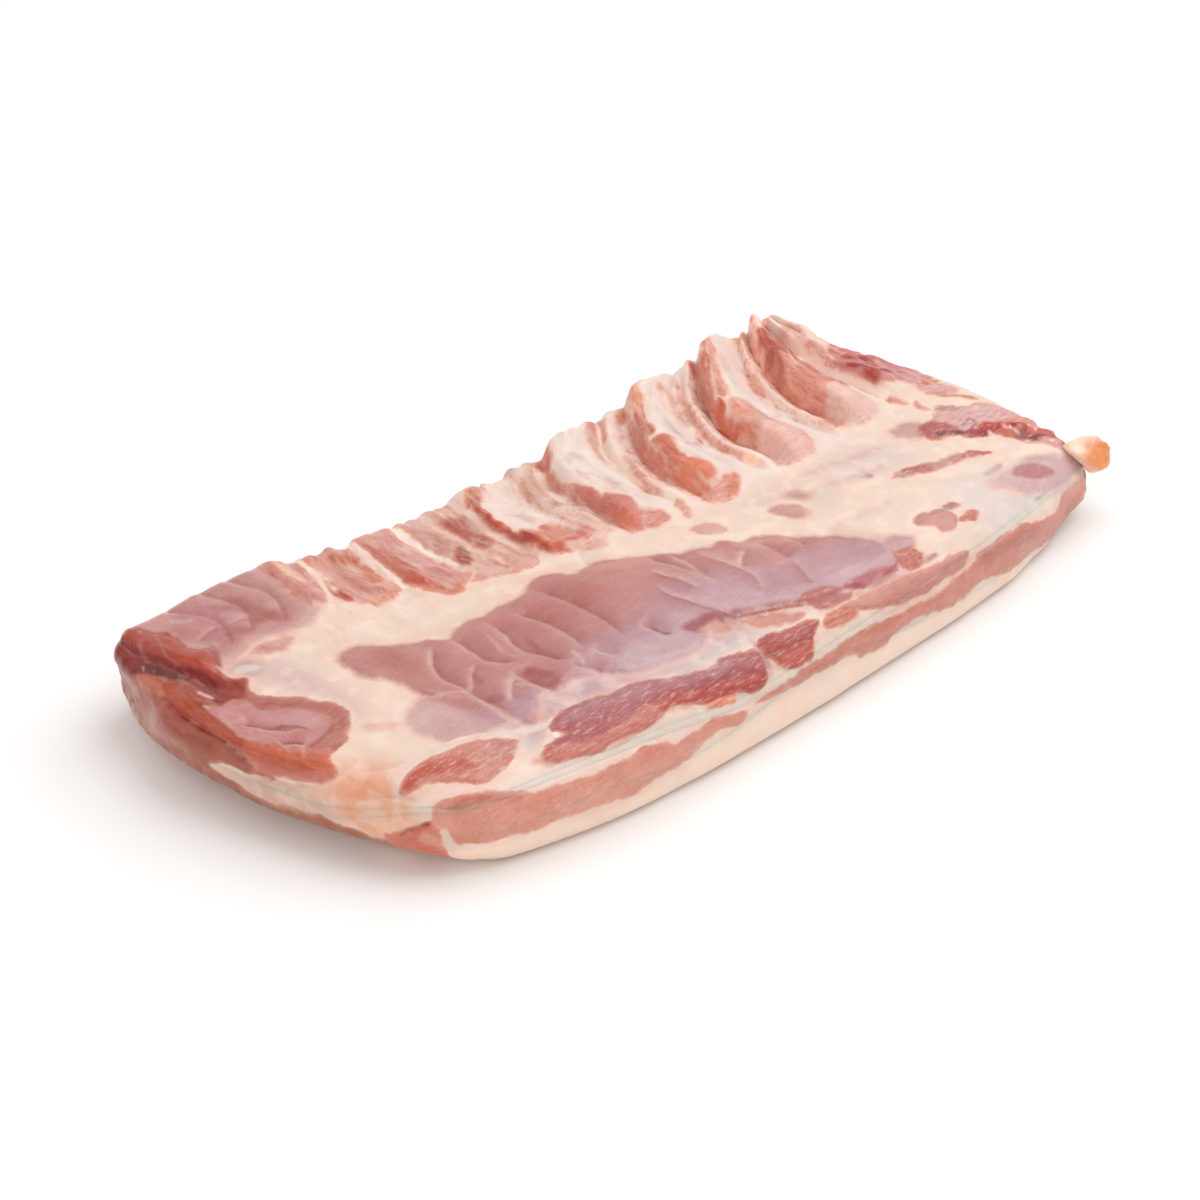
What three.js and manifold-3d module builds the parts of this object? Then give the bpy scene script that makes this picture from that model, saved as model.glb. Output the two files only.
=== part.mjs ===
// A raw slab of pork belly, boned, lying rind down with its rib side up.
// Millimetres. X runs along the slab, Y across it from the cut belly face (-Y) to the rib edge (+Y), and Z
// is up. The origin is at the middle of the slab's bounding box, on the surface that the slab lies on.
// The slab is a stack of layers that grew together: back fat with its rind, a sheet of lean, a seam of fat
// and the rib side. A stub of rib cartilage stands out of its right-hand near corner.

import * as THREE from "three";
import { mergeVertices } from "three/addons/utils/BufferGeometryUtils.js";
import Module from "manifold-3d";

const wasm = await Module();
wasm.setup();

// Plan of the slab at half its thickness. The near and far sides give y at shares along the slab, and the
// left and right ends give x at places across it.
const NEAR_SIDE = curve([0, -88], [0.06, -98], [0.2, -111], [0.36, -117], [0.55, -119], [0.8, -117], [1, -101]);
const FAR_SIDE = curve([0, 115], [0.07, 119], [0.18, 118], [0.3, 111], [0.45, 107], [0.75, 108], [1, 104]);
const LEFT_END = curve([-88, -196], [-70, -207], [-45, -220], [-5, -234], [35, -240], [80, -239], [115, -229]);
const RIGHT_END = curve([-101, 235], [-75, 235], [-25, 233], [20, 230], [60, 225], [104, 212]);
const SPAN = { left: -240, right: 233 };
const WIDTH = 224;

// Heights, before the relief of the rib side is added
const THICKNESS = 44;
const LAYER_GAP = 0.3;
const END_LIFT = { from: 130, to: 232, height: 8 }; // the right-hand end curls up off the surface

// Tops of the back fat, the sheet of lean and the fat seam: on most of the side, on the left-hand end, and on
// the cut face, where they swell and thin along the slab
const SIDE_TOPS = [17, 26, 29];
const LEFT_END_TOPS = [15, 22, 27];
const CUT_FAT = curve([0, 22], [0.15, 24], [0.28, 18], [0.42, 26], [0.52, 24], [0.62, 18], [0.8, 13], [1, 9]);
const CUT_LEAN = curve([0, 38], [0.1, 39], [0.24, 36], [0.36, 30], [0.5, 31], [0.76, 34], [0.88, 35], [1, 29]);
const CUT_SEAM = 4;

// Rounded edges: across is measured in plan and down is measured from the top
const LEFT_EDGE = { across: 28, down: 24 };
const LEFT_FAR_EDGE = { across: 9, down: 9 };
const NEAR_EDGE = { across: 30, down: 21 };
const RIGHT_EDGE = { across: 9, down: 9 };
const FAR_EDGE = { across: 10, down: 10 };
const UNDERSIDE_EDGE = { left: 34, leftHeight: 21, other: 8 };

// The stub of cartilage at the right-hand near corner
const STUB = { centre: [231, -96, 27], length: 34, breadth: 22, height: 20, turn: -0.5, dip: 0.1 };

// Fingers of meat between the beds that the rib bones left: [place of the root, breadth, height]
const FINGERS = [
  [-142, 13, 2.5],
  [-129, 14, 3],
  [-113, 12, 3],
  [-98, 16, 5],
  [-73, 13, 5],
  [-57, 13, 6],
  [-42, 14, 9],
  [-14, 12, 5],
  [6, 30, 13],
  [38, 9, 5],
  [54, 32, 14],
  [92, 8, 5],
  [104, 32, 15],
  [141, 8, 6],
  [154, 30, 15],
  [187, 14, 9],
];

// How far the rib edge's end of a line across the slab bends towards +X, for the line's place
const FINGER_BEND = curve([-142, 3], [-42, 24], [6, 46], [54, 64], [104, 72], [156, 62], [233, 0]);

// Rows of the mesh across the slab
const ROWS = 24;

// A smooth curve through points, held level beyond its ends
function curve(...points) {
  const slope = (i, j) => (points[j][1] - points[i][1]) / (points[j][0] - points[i][0]);
  const last = points.length - 1;
  const slopes = points.map((_, i) => slope(Math.max(i - 1, 0), Math.min(i + 1, last)));
  return (at) => {
    if (at <= points[0][0]) return points[0][1];
    if (at >= points[last][0]) return points[last][1];
    const i = points.findIndex((_, k) => at <= points[k + 1][0]);
    const [[x0, y0], [x1, y1]] = [points[i], points[i + 1]];
    const t = (at - x0) / (x1 - x0);
    const chord = slope(i, i + 1);
    const bow = (1 - t) * (slopes[i] - chord) - t * (slopes[i + 1] - chord);
    return y0 + (y1 - y0) * t + bow * t * (1 - t) * (x1 - x0);
  };
}

function smoothstep(from, to, value) {
  return THREE.MathUtils.smoothstep(value, from, to);
}

function lerp(a, b, share) {
  return THREE.MathUtils.lerp(a, b, share);
}

// A soft hill of height 1 at its centre
function hill(x, y, centreX, centreY, reachX, reachY) {
  const dx = (x - centreX) / reachX;
  const dy = (y - centreY) / reachY;
  return Math.exp(-(dx * dx + dy * dy));
}

// Place of a line across the slab, before it bends
function lineAt(s) {
  return lerp(SPAN.left, SPAN.right, s);
}

// Plan position of shares s along and t across the slab; the lines across bend with the fingers
function plan(s, t) {
  const y = lerp(NEAR_SIDE(s), FAR_SIDE(s), t);
  const bend = FINGER_BEND(lineAt(s)) * Math.max(0, 2 * t - 1) ** 2.2;
  return [lerp(LEFT_END(y), RIGHT_END(y), s) + bend, y];
}

// Height of the top before the fingers are added
function topHeight(x, y) {
  const bed = 9 * smoothstep(-5, 95, y) * smoothstep(-160, -90, x) * (1 - 0.5 * smoothstep(90, 160, x));
  const muscle = 5 * hill(x, y, -40, -45, 120, 48);
  const lowEdge = 7 * hill(x, y, 10, 105, 90, 45);
  const tip = 9 * hill(x, y, 240, -110, 70, 60);
  const nearCorner = 3 * hill(x, y, -205, -100, 50, 45);
  return THICKNESS - bed + muscle - lowEdge - tip - nearCorner;
}

// Height of the underside
function bottomHeight(x) {
  return END_LIFT.height * smoothstep(END_LIFT.from, END_LIFT.to, x) ** 2;
}

// The near end of the finger on a line across the slab
function rootLine(line) {
  return 52 - 44 * smoothstep(-145, -20, line) - 16 * smoothstep(-20, 100, line);
}

// Height that the fingers add on a line across the slab: each is steep on its left and slopes off to its right
function fingerRelief(line, y, t) {
  const heights = FINGERS.map(([root, breadth, height]) => {
    const away = (line - root) / breadth;
    const profile = smoothstep(-0.12, 0.14, away) * (1 - smoothstep(0.25, 1.05, away));
    const start = rootLine(root);
    return height * profile * smoothstep(start - 4, start + 12, y) * lerp(0.75, 1, t);
  });
  return Math.max(...heights);
}

// The fold across the left-hand end, and the two lips beside it
const FOLD = stroke(10, -6, [-236, 106, 26], [-238, 84, 30], [-230, 62, 38], [-214, 40, 46]);
const UPPER_LIP = stroke(10, 3, [-226, 104, 42], [-220, 78, 47], [-208, 52, 50]);
const LOWER_LIP = stroke(11, 4, [-238, 60, 27], [-234, 30, 35], [-225, 0, 41], [-213, -26, 43]);
const END_OUTWARD = new THREE.Vector3(-0.76, 0, 0.65);

// A stroke through corner points that pushes the surface out, or in where push is below 0
function stroke(reach, push, ...corners) {
  const points = corners.map((corner) => new THREE.Vector3(...corner));
  const stretches = points.slice(1).map((point, i) => new THREE.Line3(points[i], point));
  return { reach, push, stretches };
}

// How far a stroke on the left-hand end pushes the surface at a point
function strokePush({ reach, push, stretches }, point) {
  const feet = stretches.map((stretch) => stretch.closestPointToPoint(point, true, new THREE.Vector3()));
  const nearest = Math.min(...feet.map((foot) => foot.distanceTo(point)));
  return push * Math.exp(-((nearest / reach) ** 2));
}

// Shares of the length, width and thickness that the rounding of the edges takes at a place
function edgeReach(s, t, w) {
  const leftness = 1 - smoothstep(0, 0.2, s);
  const nearness = 1 - smoothstep(0, 0.35, t);
  const squareness = smoothstep(0.45, 0.8, t);
  const leftAcross = lerp(LEFT_EDGE.across, LEFT_FAR_EDGE.across, squareness);
  const leftDown = lerp(LEFT_EDGE.down, LEFT_FAR_EDGE.down, squareness);
  const sideDown = lerp(FAR_EDGE.down, NEAR_EDGE.down, nearness);
  const topAlong = s < 0.5 ? leftAcross : RIGHT_EDGE.across;
  const topAcross = t < 0.5 ? NEAR_EDGE.across : FAR_EDGE.across;
  const lowAlong = s < 0.5 ? UNDERSIDE_EDGE.left : UNDERSIDE_EDGE.other;
  const height = smoothstep(0.2, 0.5, w);
  const topDown = lerp(sideDown, leftDown, leftness * (1 - nearness));
  const lowUp = lerp(UNDERSIDE_EDGE.other, UNDERSIDE_EDGE.leftHeight, leftness);
  return [
    lerp(lowAlong, topAlong, height) / (SPAN.right - SPAN.left),
    lerp(UNDERSIDE_EDGE.other, topAcross, height) / WIDTH,
    (w < 0.5 ? lowUp : topDown) / THICKNESS,
  ];
}

// Point of the slab at shares s along, t across and w up, each from 0 to 1
function place(s, t, w) {
  const shares = [s, t, w];
  const reach = edgeReach(s, t, w);
  const inside = shares.map((share) => Math.min(share, 1 - share));
  const depths = inside.map((share, axis) => Math.max(0, 1 - share / reach[axis]));
  const keep = Math.max(...depths) / (Math.hypot(...depths) || 1);
  const [along, across, rise] = shares.map((share, axis) => {
    const rounded = depths[axis] > 0 ? reach[axis] * (1 - depths[axis] * keep) : inside[axis];
    return share < 0.5 ? rounded : 1 - rounded;
  });
  const [x, y] = plan(along, across);
  const relief = fingerRelief(lineAt(s), y, t) * smoothstep(0.6, 0.95, rise);
  const z = lerp(bottomHeight(x), topHeight(x, y), rise) + relief;
  const point = new THREE.Vector3(x - relief * 0.2, y, z);
  const push = strokePush(FOLD, point) + strokePush(UPPER_LIP, point) + strokePush(LOWER_LIP, point);
  return point.addScaledVector(END_OUTWARD, push);
}

// Heights at which the layers meet at the side, from the underside to the top
function layerHeights(s, t) {
  const cut = 1 - smoothstep(0, 0.3, t);
  const left = 1 - smoothstep(0, 0.18, s);
  const cutTops = [CUT_FAT(s), CUT_LEAN(s), CUT_LEAN(s) + CUT_SEAM];
  const tops = SIDE_TOPS.map((top, layer) => lerp(lerp(top, LEFT_END_TOPS[layer], left), cutTops[layer], cut));
  return [0, ...tops, THICKNESS];
}

// Columns of the mesh: five to each finger, and even steps over the plain ends
function columnShares() {
  const places = [SPAN.left, SPAN.right];
  for (const [root, breadth] of FINGERS) {
    const offsets = breadth < 10 ? [-0.12, 0.14, 0.8] : [-0.12, 0.02, 0.14, 0.5, 0.85];
    offsets.forEach((offset) => places.push(root + offset * breadth));
  }
  for (const margin of [3, 8, 16, 27, 42, 60, 80]) places.push(SPAN.left + margin);
  for (const margin of [2.5, 6, 11, 20]) places.push(SPAN.right - margin);
  places.sort((a, b) => a - b);
  return places.map((at) => (at - SPAN.left) / (SPAN.right - SPAN.left));
}

const COLUMN = columnShares();
const COLUMNS = COLUMN.length - 1;
const ROW = Array.from({ length: ROWS + 1 }, (_, row) => {
  const even = (2 * row) / ROWS - 1;
  return (1 + even * (1.25 - 0.25 * even * even)) / 2;
});
const RIM = Array.from({ length: 2 * (COLUMNS + ROWS) });
const TOP = 4;

// Shares at a step round the rim of the plan
function rimShares(step) {
  if (step < COLUMNS) return [COLUMN[step], 0];
  if (step < COLUMNS + ROWS) return [1, ROW[step - COLUMNS]];
  if (step < 2 * COLUMNS + ROWS) return [COLUMN[2 * COLUMNS + ROWS - step], 1];
  return [0, ROW[RIM.length - step]];
}

// A mesh that is collected point by point and triangle by triangle
class Shell {
  constructor() {
    this.positions = [];
    this.triangles = [];
  }

  point({ x, y, z }) {
    this.positions.push(x, y, z);
    return this.positions.length / 3 - 1;
  }

  quad(a, b, c, d) {
    this.triangles.push(a, b, c, a, c, d);
  }

  band(lower, upper) {
    lower.forEach((index, step) => {
      const next = (step + 1) % lower.length;
      this.quad(index, lower[next], upper[next], upper[step]);
    });
  }

  fan(centre, ring) {
    ring.forEach((index, step) => this.triangles.push(centre, index, ring[(step + 1) % ring.length]));
  }

  geometry() {
    const geometry = new THREE.BufferGeometry();
    geometry.setAttribute("position", new THREE.Float32BufferAttribute(this.positions, 3));
    geometry.setIndex(this.triangles);
    geometry.computeVertexNormals();
    return geometry;
  }
}

// Point of the slab at a share of the way from one meeting of layers up to another, clear of both neighbours
function layerPoint(from, to, share, s, t) {
  const heights = layerHeights(s, t);
  const point = place(s, t, lerp(heights[from], heights[to], share) / THICKNESS);
  if (share === 0 && from > 0) point.z += LAYER_GAP / 2;
  if (share === 1 && to < TOP) point.z -= LAYER_GAP / 2;
  return point;
}

// The top of the rib side: a grid that shares its rim with the side
function addTop(shell, rim) {
  const grid = COLUMN.map((s) => ROW.map((t) => ({ s, t })));
  rim.forEach((index, step) => {
    const [s, t] = rimShares(step);
    grid[COLUMN.indexOf(s)][ROW.indexOf(t)] = index;
  });
  for (let column = 1; column < COLUMNS; column += 1) {
    for (let row = 1; row < ROWS; row += 1) {
      grid[column][row] = shell.point(place(COLUMN[column], ROW[row], 1));
    }
  }
  for (let column = 0; column < COLUMNS; column += 1) {
    for (let row = 0; row < ROWS; row += 1) {
      shell.quad(grid[column][row], grid[column + 1][row], grid[column + 1][row + 1], grid[column][row + 1]);
    }
  }
}

// The underside: a ring where the rounding of the edge ends, one inside it, and a flat middle
function addUnderside(shell, rim) {
  let outer = rim;
  for (const inset of [0.09, 0.3]) {
    const ring = rim.map((_, step) => {
      const [s, t] = rimShares(step);
      return shell.point(place(lerp(s, 0.5, inset), lerp(t, 0.5, inset), 0));
    });
    shell.band(ring, outer);
    outer = ring;
  }
  shell.fan(shell.point(place(0.5, 0.5, 0)), [...outer].reverse());
}

// The slab between two meetings of its layers, with its side in bands
function layerGeometry(from, to, bands) {
  const shell = new Shell();
  const rings = [];
  for (let band = 0; band <= bands; band += 1) {
    rings.push(RIM.map((_, step) => shell.point(layerPoint(from, to, band / bands, ...rimShares(step)))));
    if (band > 0) shell.band(rings[band - 1], rings[band]);
  }
  if (from === 0) addUnderside(shell, rings[0]);
  else shell.fan(shell.point(layerPoint(from, to, 0, 0.5, 0.5)), [...rings[0]].reverse());
  if (to === TOP) addTop(shell, rings[bands]);
  else shell.fan(shell.point(layerPoint(from, to, 1, 0.5, 0.5)), rings[bands]);
  return shell.geometry();
}

function toSolid(geometry) {
  const { position } = geometry.attributes;
  const triVerts = new Uint32Array(geometry.index.array);
  return new wasm.Manifold(new wasm.Mesh({ numProp: 3, vertProperties: position.array, triVerts }));
}

// A rounded stub that ends where the slab begins
function stubGeometry(whole) {
  const lump = new THREE.SphereGeometry(0.5, 18, 12);
  ["normal", "uv"].forEach((name) => lump.deleteAttribute(name));
  lump.scale(STUB.length, STUB.breadth, STUB.height);
  lump.rotateY(STUB.dip);
  lump.rotateZ(STUB.turn);
  lump.translate(...STUB.centre);
  const grown = whole.clone().scale(1.002, 1.005, 1.01);
  const { vertProperties, triVerts } = toSolid(mergeVertices(lump, 1e-3)).subtract(toSolid(grown)).getMesh();
  const geometry = new THREE.BufferGeometry();
  geometry.setAttribute("position", new THREE.BufferAttribute(vertProperties, 3));
  geometry.setIndex([...triVerts]);
  geometry.computeVertexNormals();
  return geometry;
}

function meat(name, color, roughness, geometry) {
  const mesh = new THREE.Mesh(geometry, new THREE.MeshStandardMaterial({ color, roughness, metalness: 0 }));
  mesh.name = name;
  return mesh;
}

const slab = new THREE.Group();
slab.add(
  meat("back_fat", 0xefd2bd, 0.5, layerGeometry(0, 1, 2)),
  meat("lean_sheet", 0xc9705f, 0.4, layerGeometry(1, 2, 1)),
  meat("seam_fat", 0xf3dcc8, 0.5, layerGeometry(2, 3, 1)),
  meat("rib_side", 0xc98a83, 0.35, layerGeometry(3, TOP, 2)),
  meat("cartilage_stub", 0xf0a062, 0.35, stubGeometry(layerGeometry(0, TOP, 6))),
);

const box = new THREE.Box3().setFromObject(slab);
const centre = box.getCenter(new THREE.Vector3());
slab.children.forEach((mesh) => mesh.geometry.translate(-centre.x, -centre.y, -box.min.z));

export default slab;
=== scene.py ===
"""A raw slab of pork belly, boned, that lies rind down with its rib side up.

The slab is four layers that grew together (back fat, a sheet of lean, a seam of fat and the rib side) and a
stub of rib cartilage. Every layer starts as a primitive, gets its rings by extruding, and is then moulded to
Lean, fat, stains and painted shade, shadow and highlights are laid out on a chart of the skin: millimetres
along and across the slab, unrolled over the cut near face and the left-hand end.
"""

import logging
import math
from collections.abc import Callable, Iterator
from dataclasses import dataclass, field
from enum import Enum
from functools import partial

import bpy
import numpy as np
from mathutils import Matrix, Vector


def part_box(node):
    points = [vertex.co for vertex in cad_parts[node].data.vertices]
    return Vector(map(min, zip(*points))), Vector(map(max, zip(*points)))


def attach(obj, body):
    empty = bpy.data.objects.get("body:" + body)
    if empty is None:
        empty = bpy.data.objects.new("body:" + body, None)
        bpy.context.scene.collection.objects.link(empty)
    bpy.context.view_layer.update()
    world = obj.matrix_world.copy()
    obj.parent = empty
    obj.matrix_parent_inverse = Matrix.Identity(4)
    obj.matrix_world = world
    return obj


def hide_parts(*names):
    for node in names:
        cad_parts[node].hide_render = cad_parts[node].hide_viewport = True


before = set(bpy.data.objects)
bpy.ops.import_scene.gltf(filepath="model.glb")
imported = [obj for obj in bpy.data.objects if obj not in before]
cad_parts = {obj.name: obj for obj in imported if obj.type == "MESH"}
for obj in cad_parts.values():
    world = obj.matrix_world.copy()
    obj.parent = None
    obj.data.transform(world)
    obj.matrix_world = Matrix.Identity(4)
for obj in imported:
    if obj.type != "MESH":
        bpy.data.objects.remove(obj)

LOG = logging.getLogger("pork_belly")
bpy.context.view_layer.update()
LAYER_NODES = ("back_fat", "lean_sheet", "seam_fat", "rib_side")
MM = 0.001
CHART_LEVEL = 45.0  # height from which the chart unrolls the sides, in millimetres
DEEPEST = 12.0  # depth in lean or in fat past which nothing changes, in millimetres

Array = np.ndarray
Object = bpy.types.Object
Socket = bpy.types.NodeSocket
Add = Callable[..., Socket]  # adds a node to a material and gives its output
Place = tuple[float, float, float]
Points = tuple[tuple[float, float], ...]


# ---- small helpers


def smooth(start: float, end: float, value: Array) -> Array:
    """Smooth step from 0 at start to 1 at end."""
    share = np.clip((np.asarray(value, float) - start) / (end - start), 0.0, 1.0)
    return share * share * (3.0 - 2.0 * share)


def mix(low: Array, high: Array, share: Array) -> Array:
    """Value a share of the way from low to high."""
    return low + (high - low) * share


def linear(hex_colour: str) -> Array:
    """Linear RGB of an sRGB hex colour such as "#C4614F"."""
    value = np.array([int(hex_colour[i : i + 2], 16) for i in (1, 3, 5)]) / 255.0
    return np.where(value <= 0.04045, value / 12.92, ((value + 0.055) / 1.055) ** 2.4)


def rounded_path(points: Points, closed: bool, steps: int = 4) -> Array:
    """A soft path through drawn corner points (Catmull-Rom).

    Args:
        points: corner points in millimetres.
        closed: whether the path comes back to its first point.
        steps: points of the path to each corner.

    Returns:
        An array of path points.
    """
    corner = np.array(points, float)
    if closed:
        ring = np.vstack([corner[-1], corner, corner[0], corner[1]])
    else:
        ring = np.vstack([2 * corner[0] - corner[1], corner, 2 * corner[-1] - corner[-2]])
    share = np.arange(steps)[:, None] / steps
    path = []
    for a, b, c, d in zip(ring[:-3], ring[1:-2], ring[2:-1], ring[3:]):
        path.append(0.5 * (2 * b + (c - a) * share + (2 * a - 5 * b + 4 * c - d) * share**2
                           + (3 * b - a - 3 * c + d) * share**3))
    if not closed:
        path.append(corner[-1:])
    return np.vstack(path)


def near_path(at: Array, path: Array, margin: float) -> Array:
    """Rows of the chart points that lie within a margin of a path's box."""
    return np.flatnonzero(((at > path.min(0) - margin) & (at < path.max(0) + margin)).all(1))


def path_distance(at: Array, path: Array, closed: bool) -> tuple[Array, Array, Array]:
    """Distance from chart points to a path.

    Args:
        at: chart points, one row each.
        path: points of the path.
        closed: whether the last point joins the first.

    Returns:
        The distance, the share of the path at the nearest place, and the side: 1 on the left of the path's
        direction and -1 on its right.
    """
    start = path if closed else path[:-1]
    end = np.roll(path, -1, axis=0) if closed else path[1:]
    reach = end - start
    length = np.maximum((reach**2).sum(1), 1e-9)
    best = np.full(len(at), 1e9)
    share, side = np.zeros(len(at)), np.ones(len(at))
    for i in range(len(start)):
        away = at - start[i]
        along = np.clip(away @ reach[i] / length[i], 0.0, 1.0)
        gap = np.hypot(*(away - along[:, None] * reach[i]).T)
        near = gap < best
        best[near] = gap[near]
        share[near] = (i + along[near]) / len(start)
        side[near] = np.sign(reach[i][0] * away[near, 1] - reach[i][1] * away[near, 0] + 1e-12)
    return best, share, side


def inside(at: Array, path: Array) -> Array:
    """Whether chart points lie inside a closed path.

    Args:
        at: chart points, one row each.
        path: points of the path.

    Returns:
        True for each point inside.
    """
    count = np.zeros(len(at), int)
    for (x0, y0), (x1, y1) in zip(path, np.roll(path, -1, axis=0)):
        crosses = (y0 > at[:, 1]) != (y1 > at[:, 1])
        run = (x1 - x0) * (at[:, 1] - y0) / (y1 - y0 if y1 != y0 else 1e-9) + x0
        count += crosses & (at[:, 0] < run)
    return count % 2 == 1


@dataclass(frozen=True)
class Ripple:
    """Smooth lumps of a set size that never repeat, the same on each run."""

    size: float
    seed: int

    def __call__(self, at: Array, stretch: Place = (1.0, 1.0, 1.0)) -> Array:
        """Height of the lumps at points in millimetres.

        Args:
            at: points, one row each.
            stretch: how much longer the lumps are along each axis.

        Returns:
            Heights of about -1 to 1.
        """
        cell = np.asarray(at, float) / (self.size * np.array(stretch)) + 400.0
        low = np.floor(cell).astype(int)
        part = cell - low
        part = part * part * (3 - 2 * part)
        table = np.random.default_rng(self.seed).uniform(-1, 1, 4096)
        height = np.zeros(len(cell))
        for step in np.ndindex(2, 2, 2):
            key = np.bitwise_xor.reduce((low + step) * (73856093, 19349663, 83492791), axis=1)
            height += np.where(step, part, 1 - part).prod(1) * table[key % 4096]
        return height * 1.4


class Curve:
    """A smooth curve through points, held level beyond its ends."""

    def __init__(self, *points: tuple[float, float]) -> None:
        """Takes the curve's points and works out its slope at each.

        Args:
            points: the points that the curve passes through, in order.
        """
        self.at, self.height = np.array(points, float).T
        last = len(points) - 1
        low, high = np.maximum(np.arange(last + 1) - 1, 0), np.minimum(np.arange(last + 1) + 1, last)
        self.slope = (self.height[high] - self.height[low]) / (self.at[high] - self.at[low])

    def __call__(self, at: Array) -> Array:
        """Height of the curve at places.

        Args:
            at: the places.

        Returns:
            The heights there.
        """
        at = np.clip(at, self.at[0], self.at[-1])
        i = np.clip(np.searchsorted(self.at, at, side="left") - 1, 0, len(self.at) - 2)
        span = self.at[i + 1] - self.at[i]
        share = (at - self.at[i]) / span
        chord = (self.height[i + 1] - self.height[i]) / span
        bow = (1 - share) * (self.slope[i] - chord) - share * (self.slope[i + 1] - chord)
        return self.height[i] + chord * span * share + bow * share * (1 - share) * span


# ---- the slab's form


@dataclass(frozen=True)
class Finger:
    """A finger of meat between two rib beds: its root, breadth, height and front end, in millimetres.

    Where no front end is given it follows the line that all the fingers share.
    """

    root: float
    breadth: float
    height: float
    front: float | None = None

    def profile(self, line: Array) -> Array:
        """Share of the finger's height at lines across the slab: steep on its left, sloping off to its right.

        Args:
            line: lines across the slab, before they bend.

        Returns:
            The shares, from 0 to 1.
        """
        away = (line - self.root) / self.breadth
        climb = np.clip((away + 0.1) / min(0.42, 9.0 / self.breadth), 0, 1)
        return np.sin(np.pi / 2 * climb) ** 1.3 * (1 - smooth(0.3, 1.08, away))

    def start(self) -> float:
        """How far across the slab the front end lies, in millimetres."""
        shared = 52 - 44 * smooth(-145, -20, self.root) - 16 * smooth(-20, 100, self.root)
        return shared if self.front is None else self.front


@dataclass(frozen=True)
class Hill:
    """A soft hill on the top, or a hollow where its height is below 0; middle and reach in millimetres."""

    height: float
    middle: tuple[float, float]
    reach: tuple[float, float]

    def __call__(self, x: Array, y: Array) -> Array:
        """Height of the hill at places in plan."""
        away = (((x, y)[i] - self.middle[i]) / self.reach[i] for i in (0, 1))
        return self.height * np.exp(-sum(share**2 for share in away))


@dataclass(frozen=True)
class Stroke:
    """A line in space along which the left-hand end is pushed out, or in where push is below 0."""

    reach: float
    push: float
    corners: tuple[Place, ...]

    def pushed(self, point: Array) -> Array:
        """How far the stroke pushes the surface at points.

        Args:
            point: points in millimetres, in the last axis.

        Returns:
            The push in millimetres.
        """
        best = np.full(point.shape[:-1], 1e9)
        corners = np.array(self.corners, float)
        for start, end in zip(corners[:-1], corners[1:]):
            reach = end - start
            along = np.clip((point - start) @ reach / (reach @ reach), 0, 1)[..., None]
            best = np.minimum(best, np.linalg.norm(point - start - along * reach, axis=-1))
        return self.push * np.exp(-((best / self.reach) ** 2))


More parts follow.
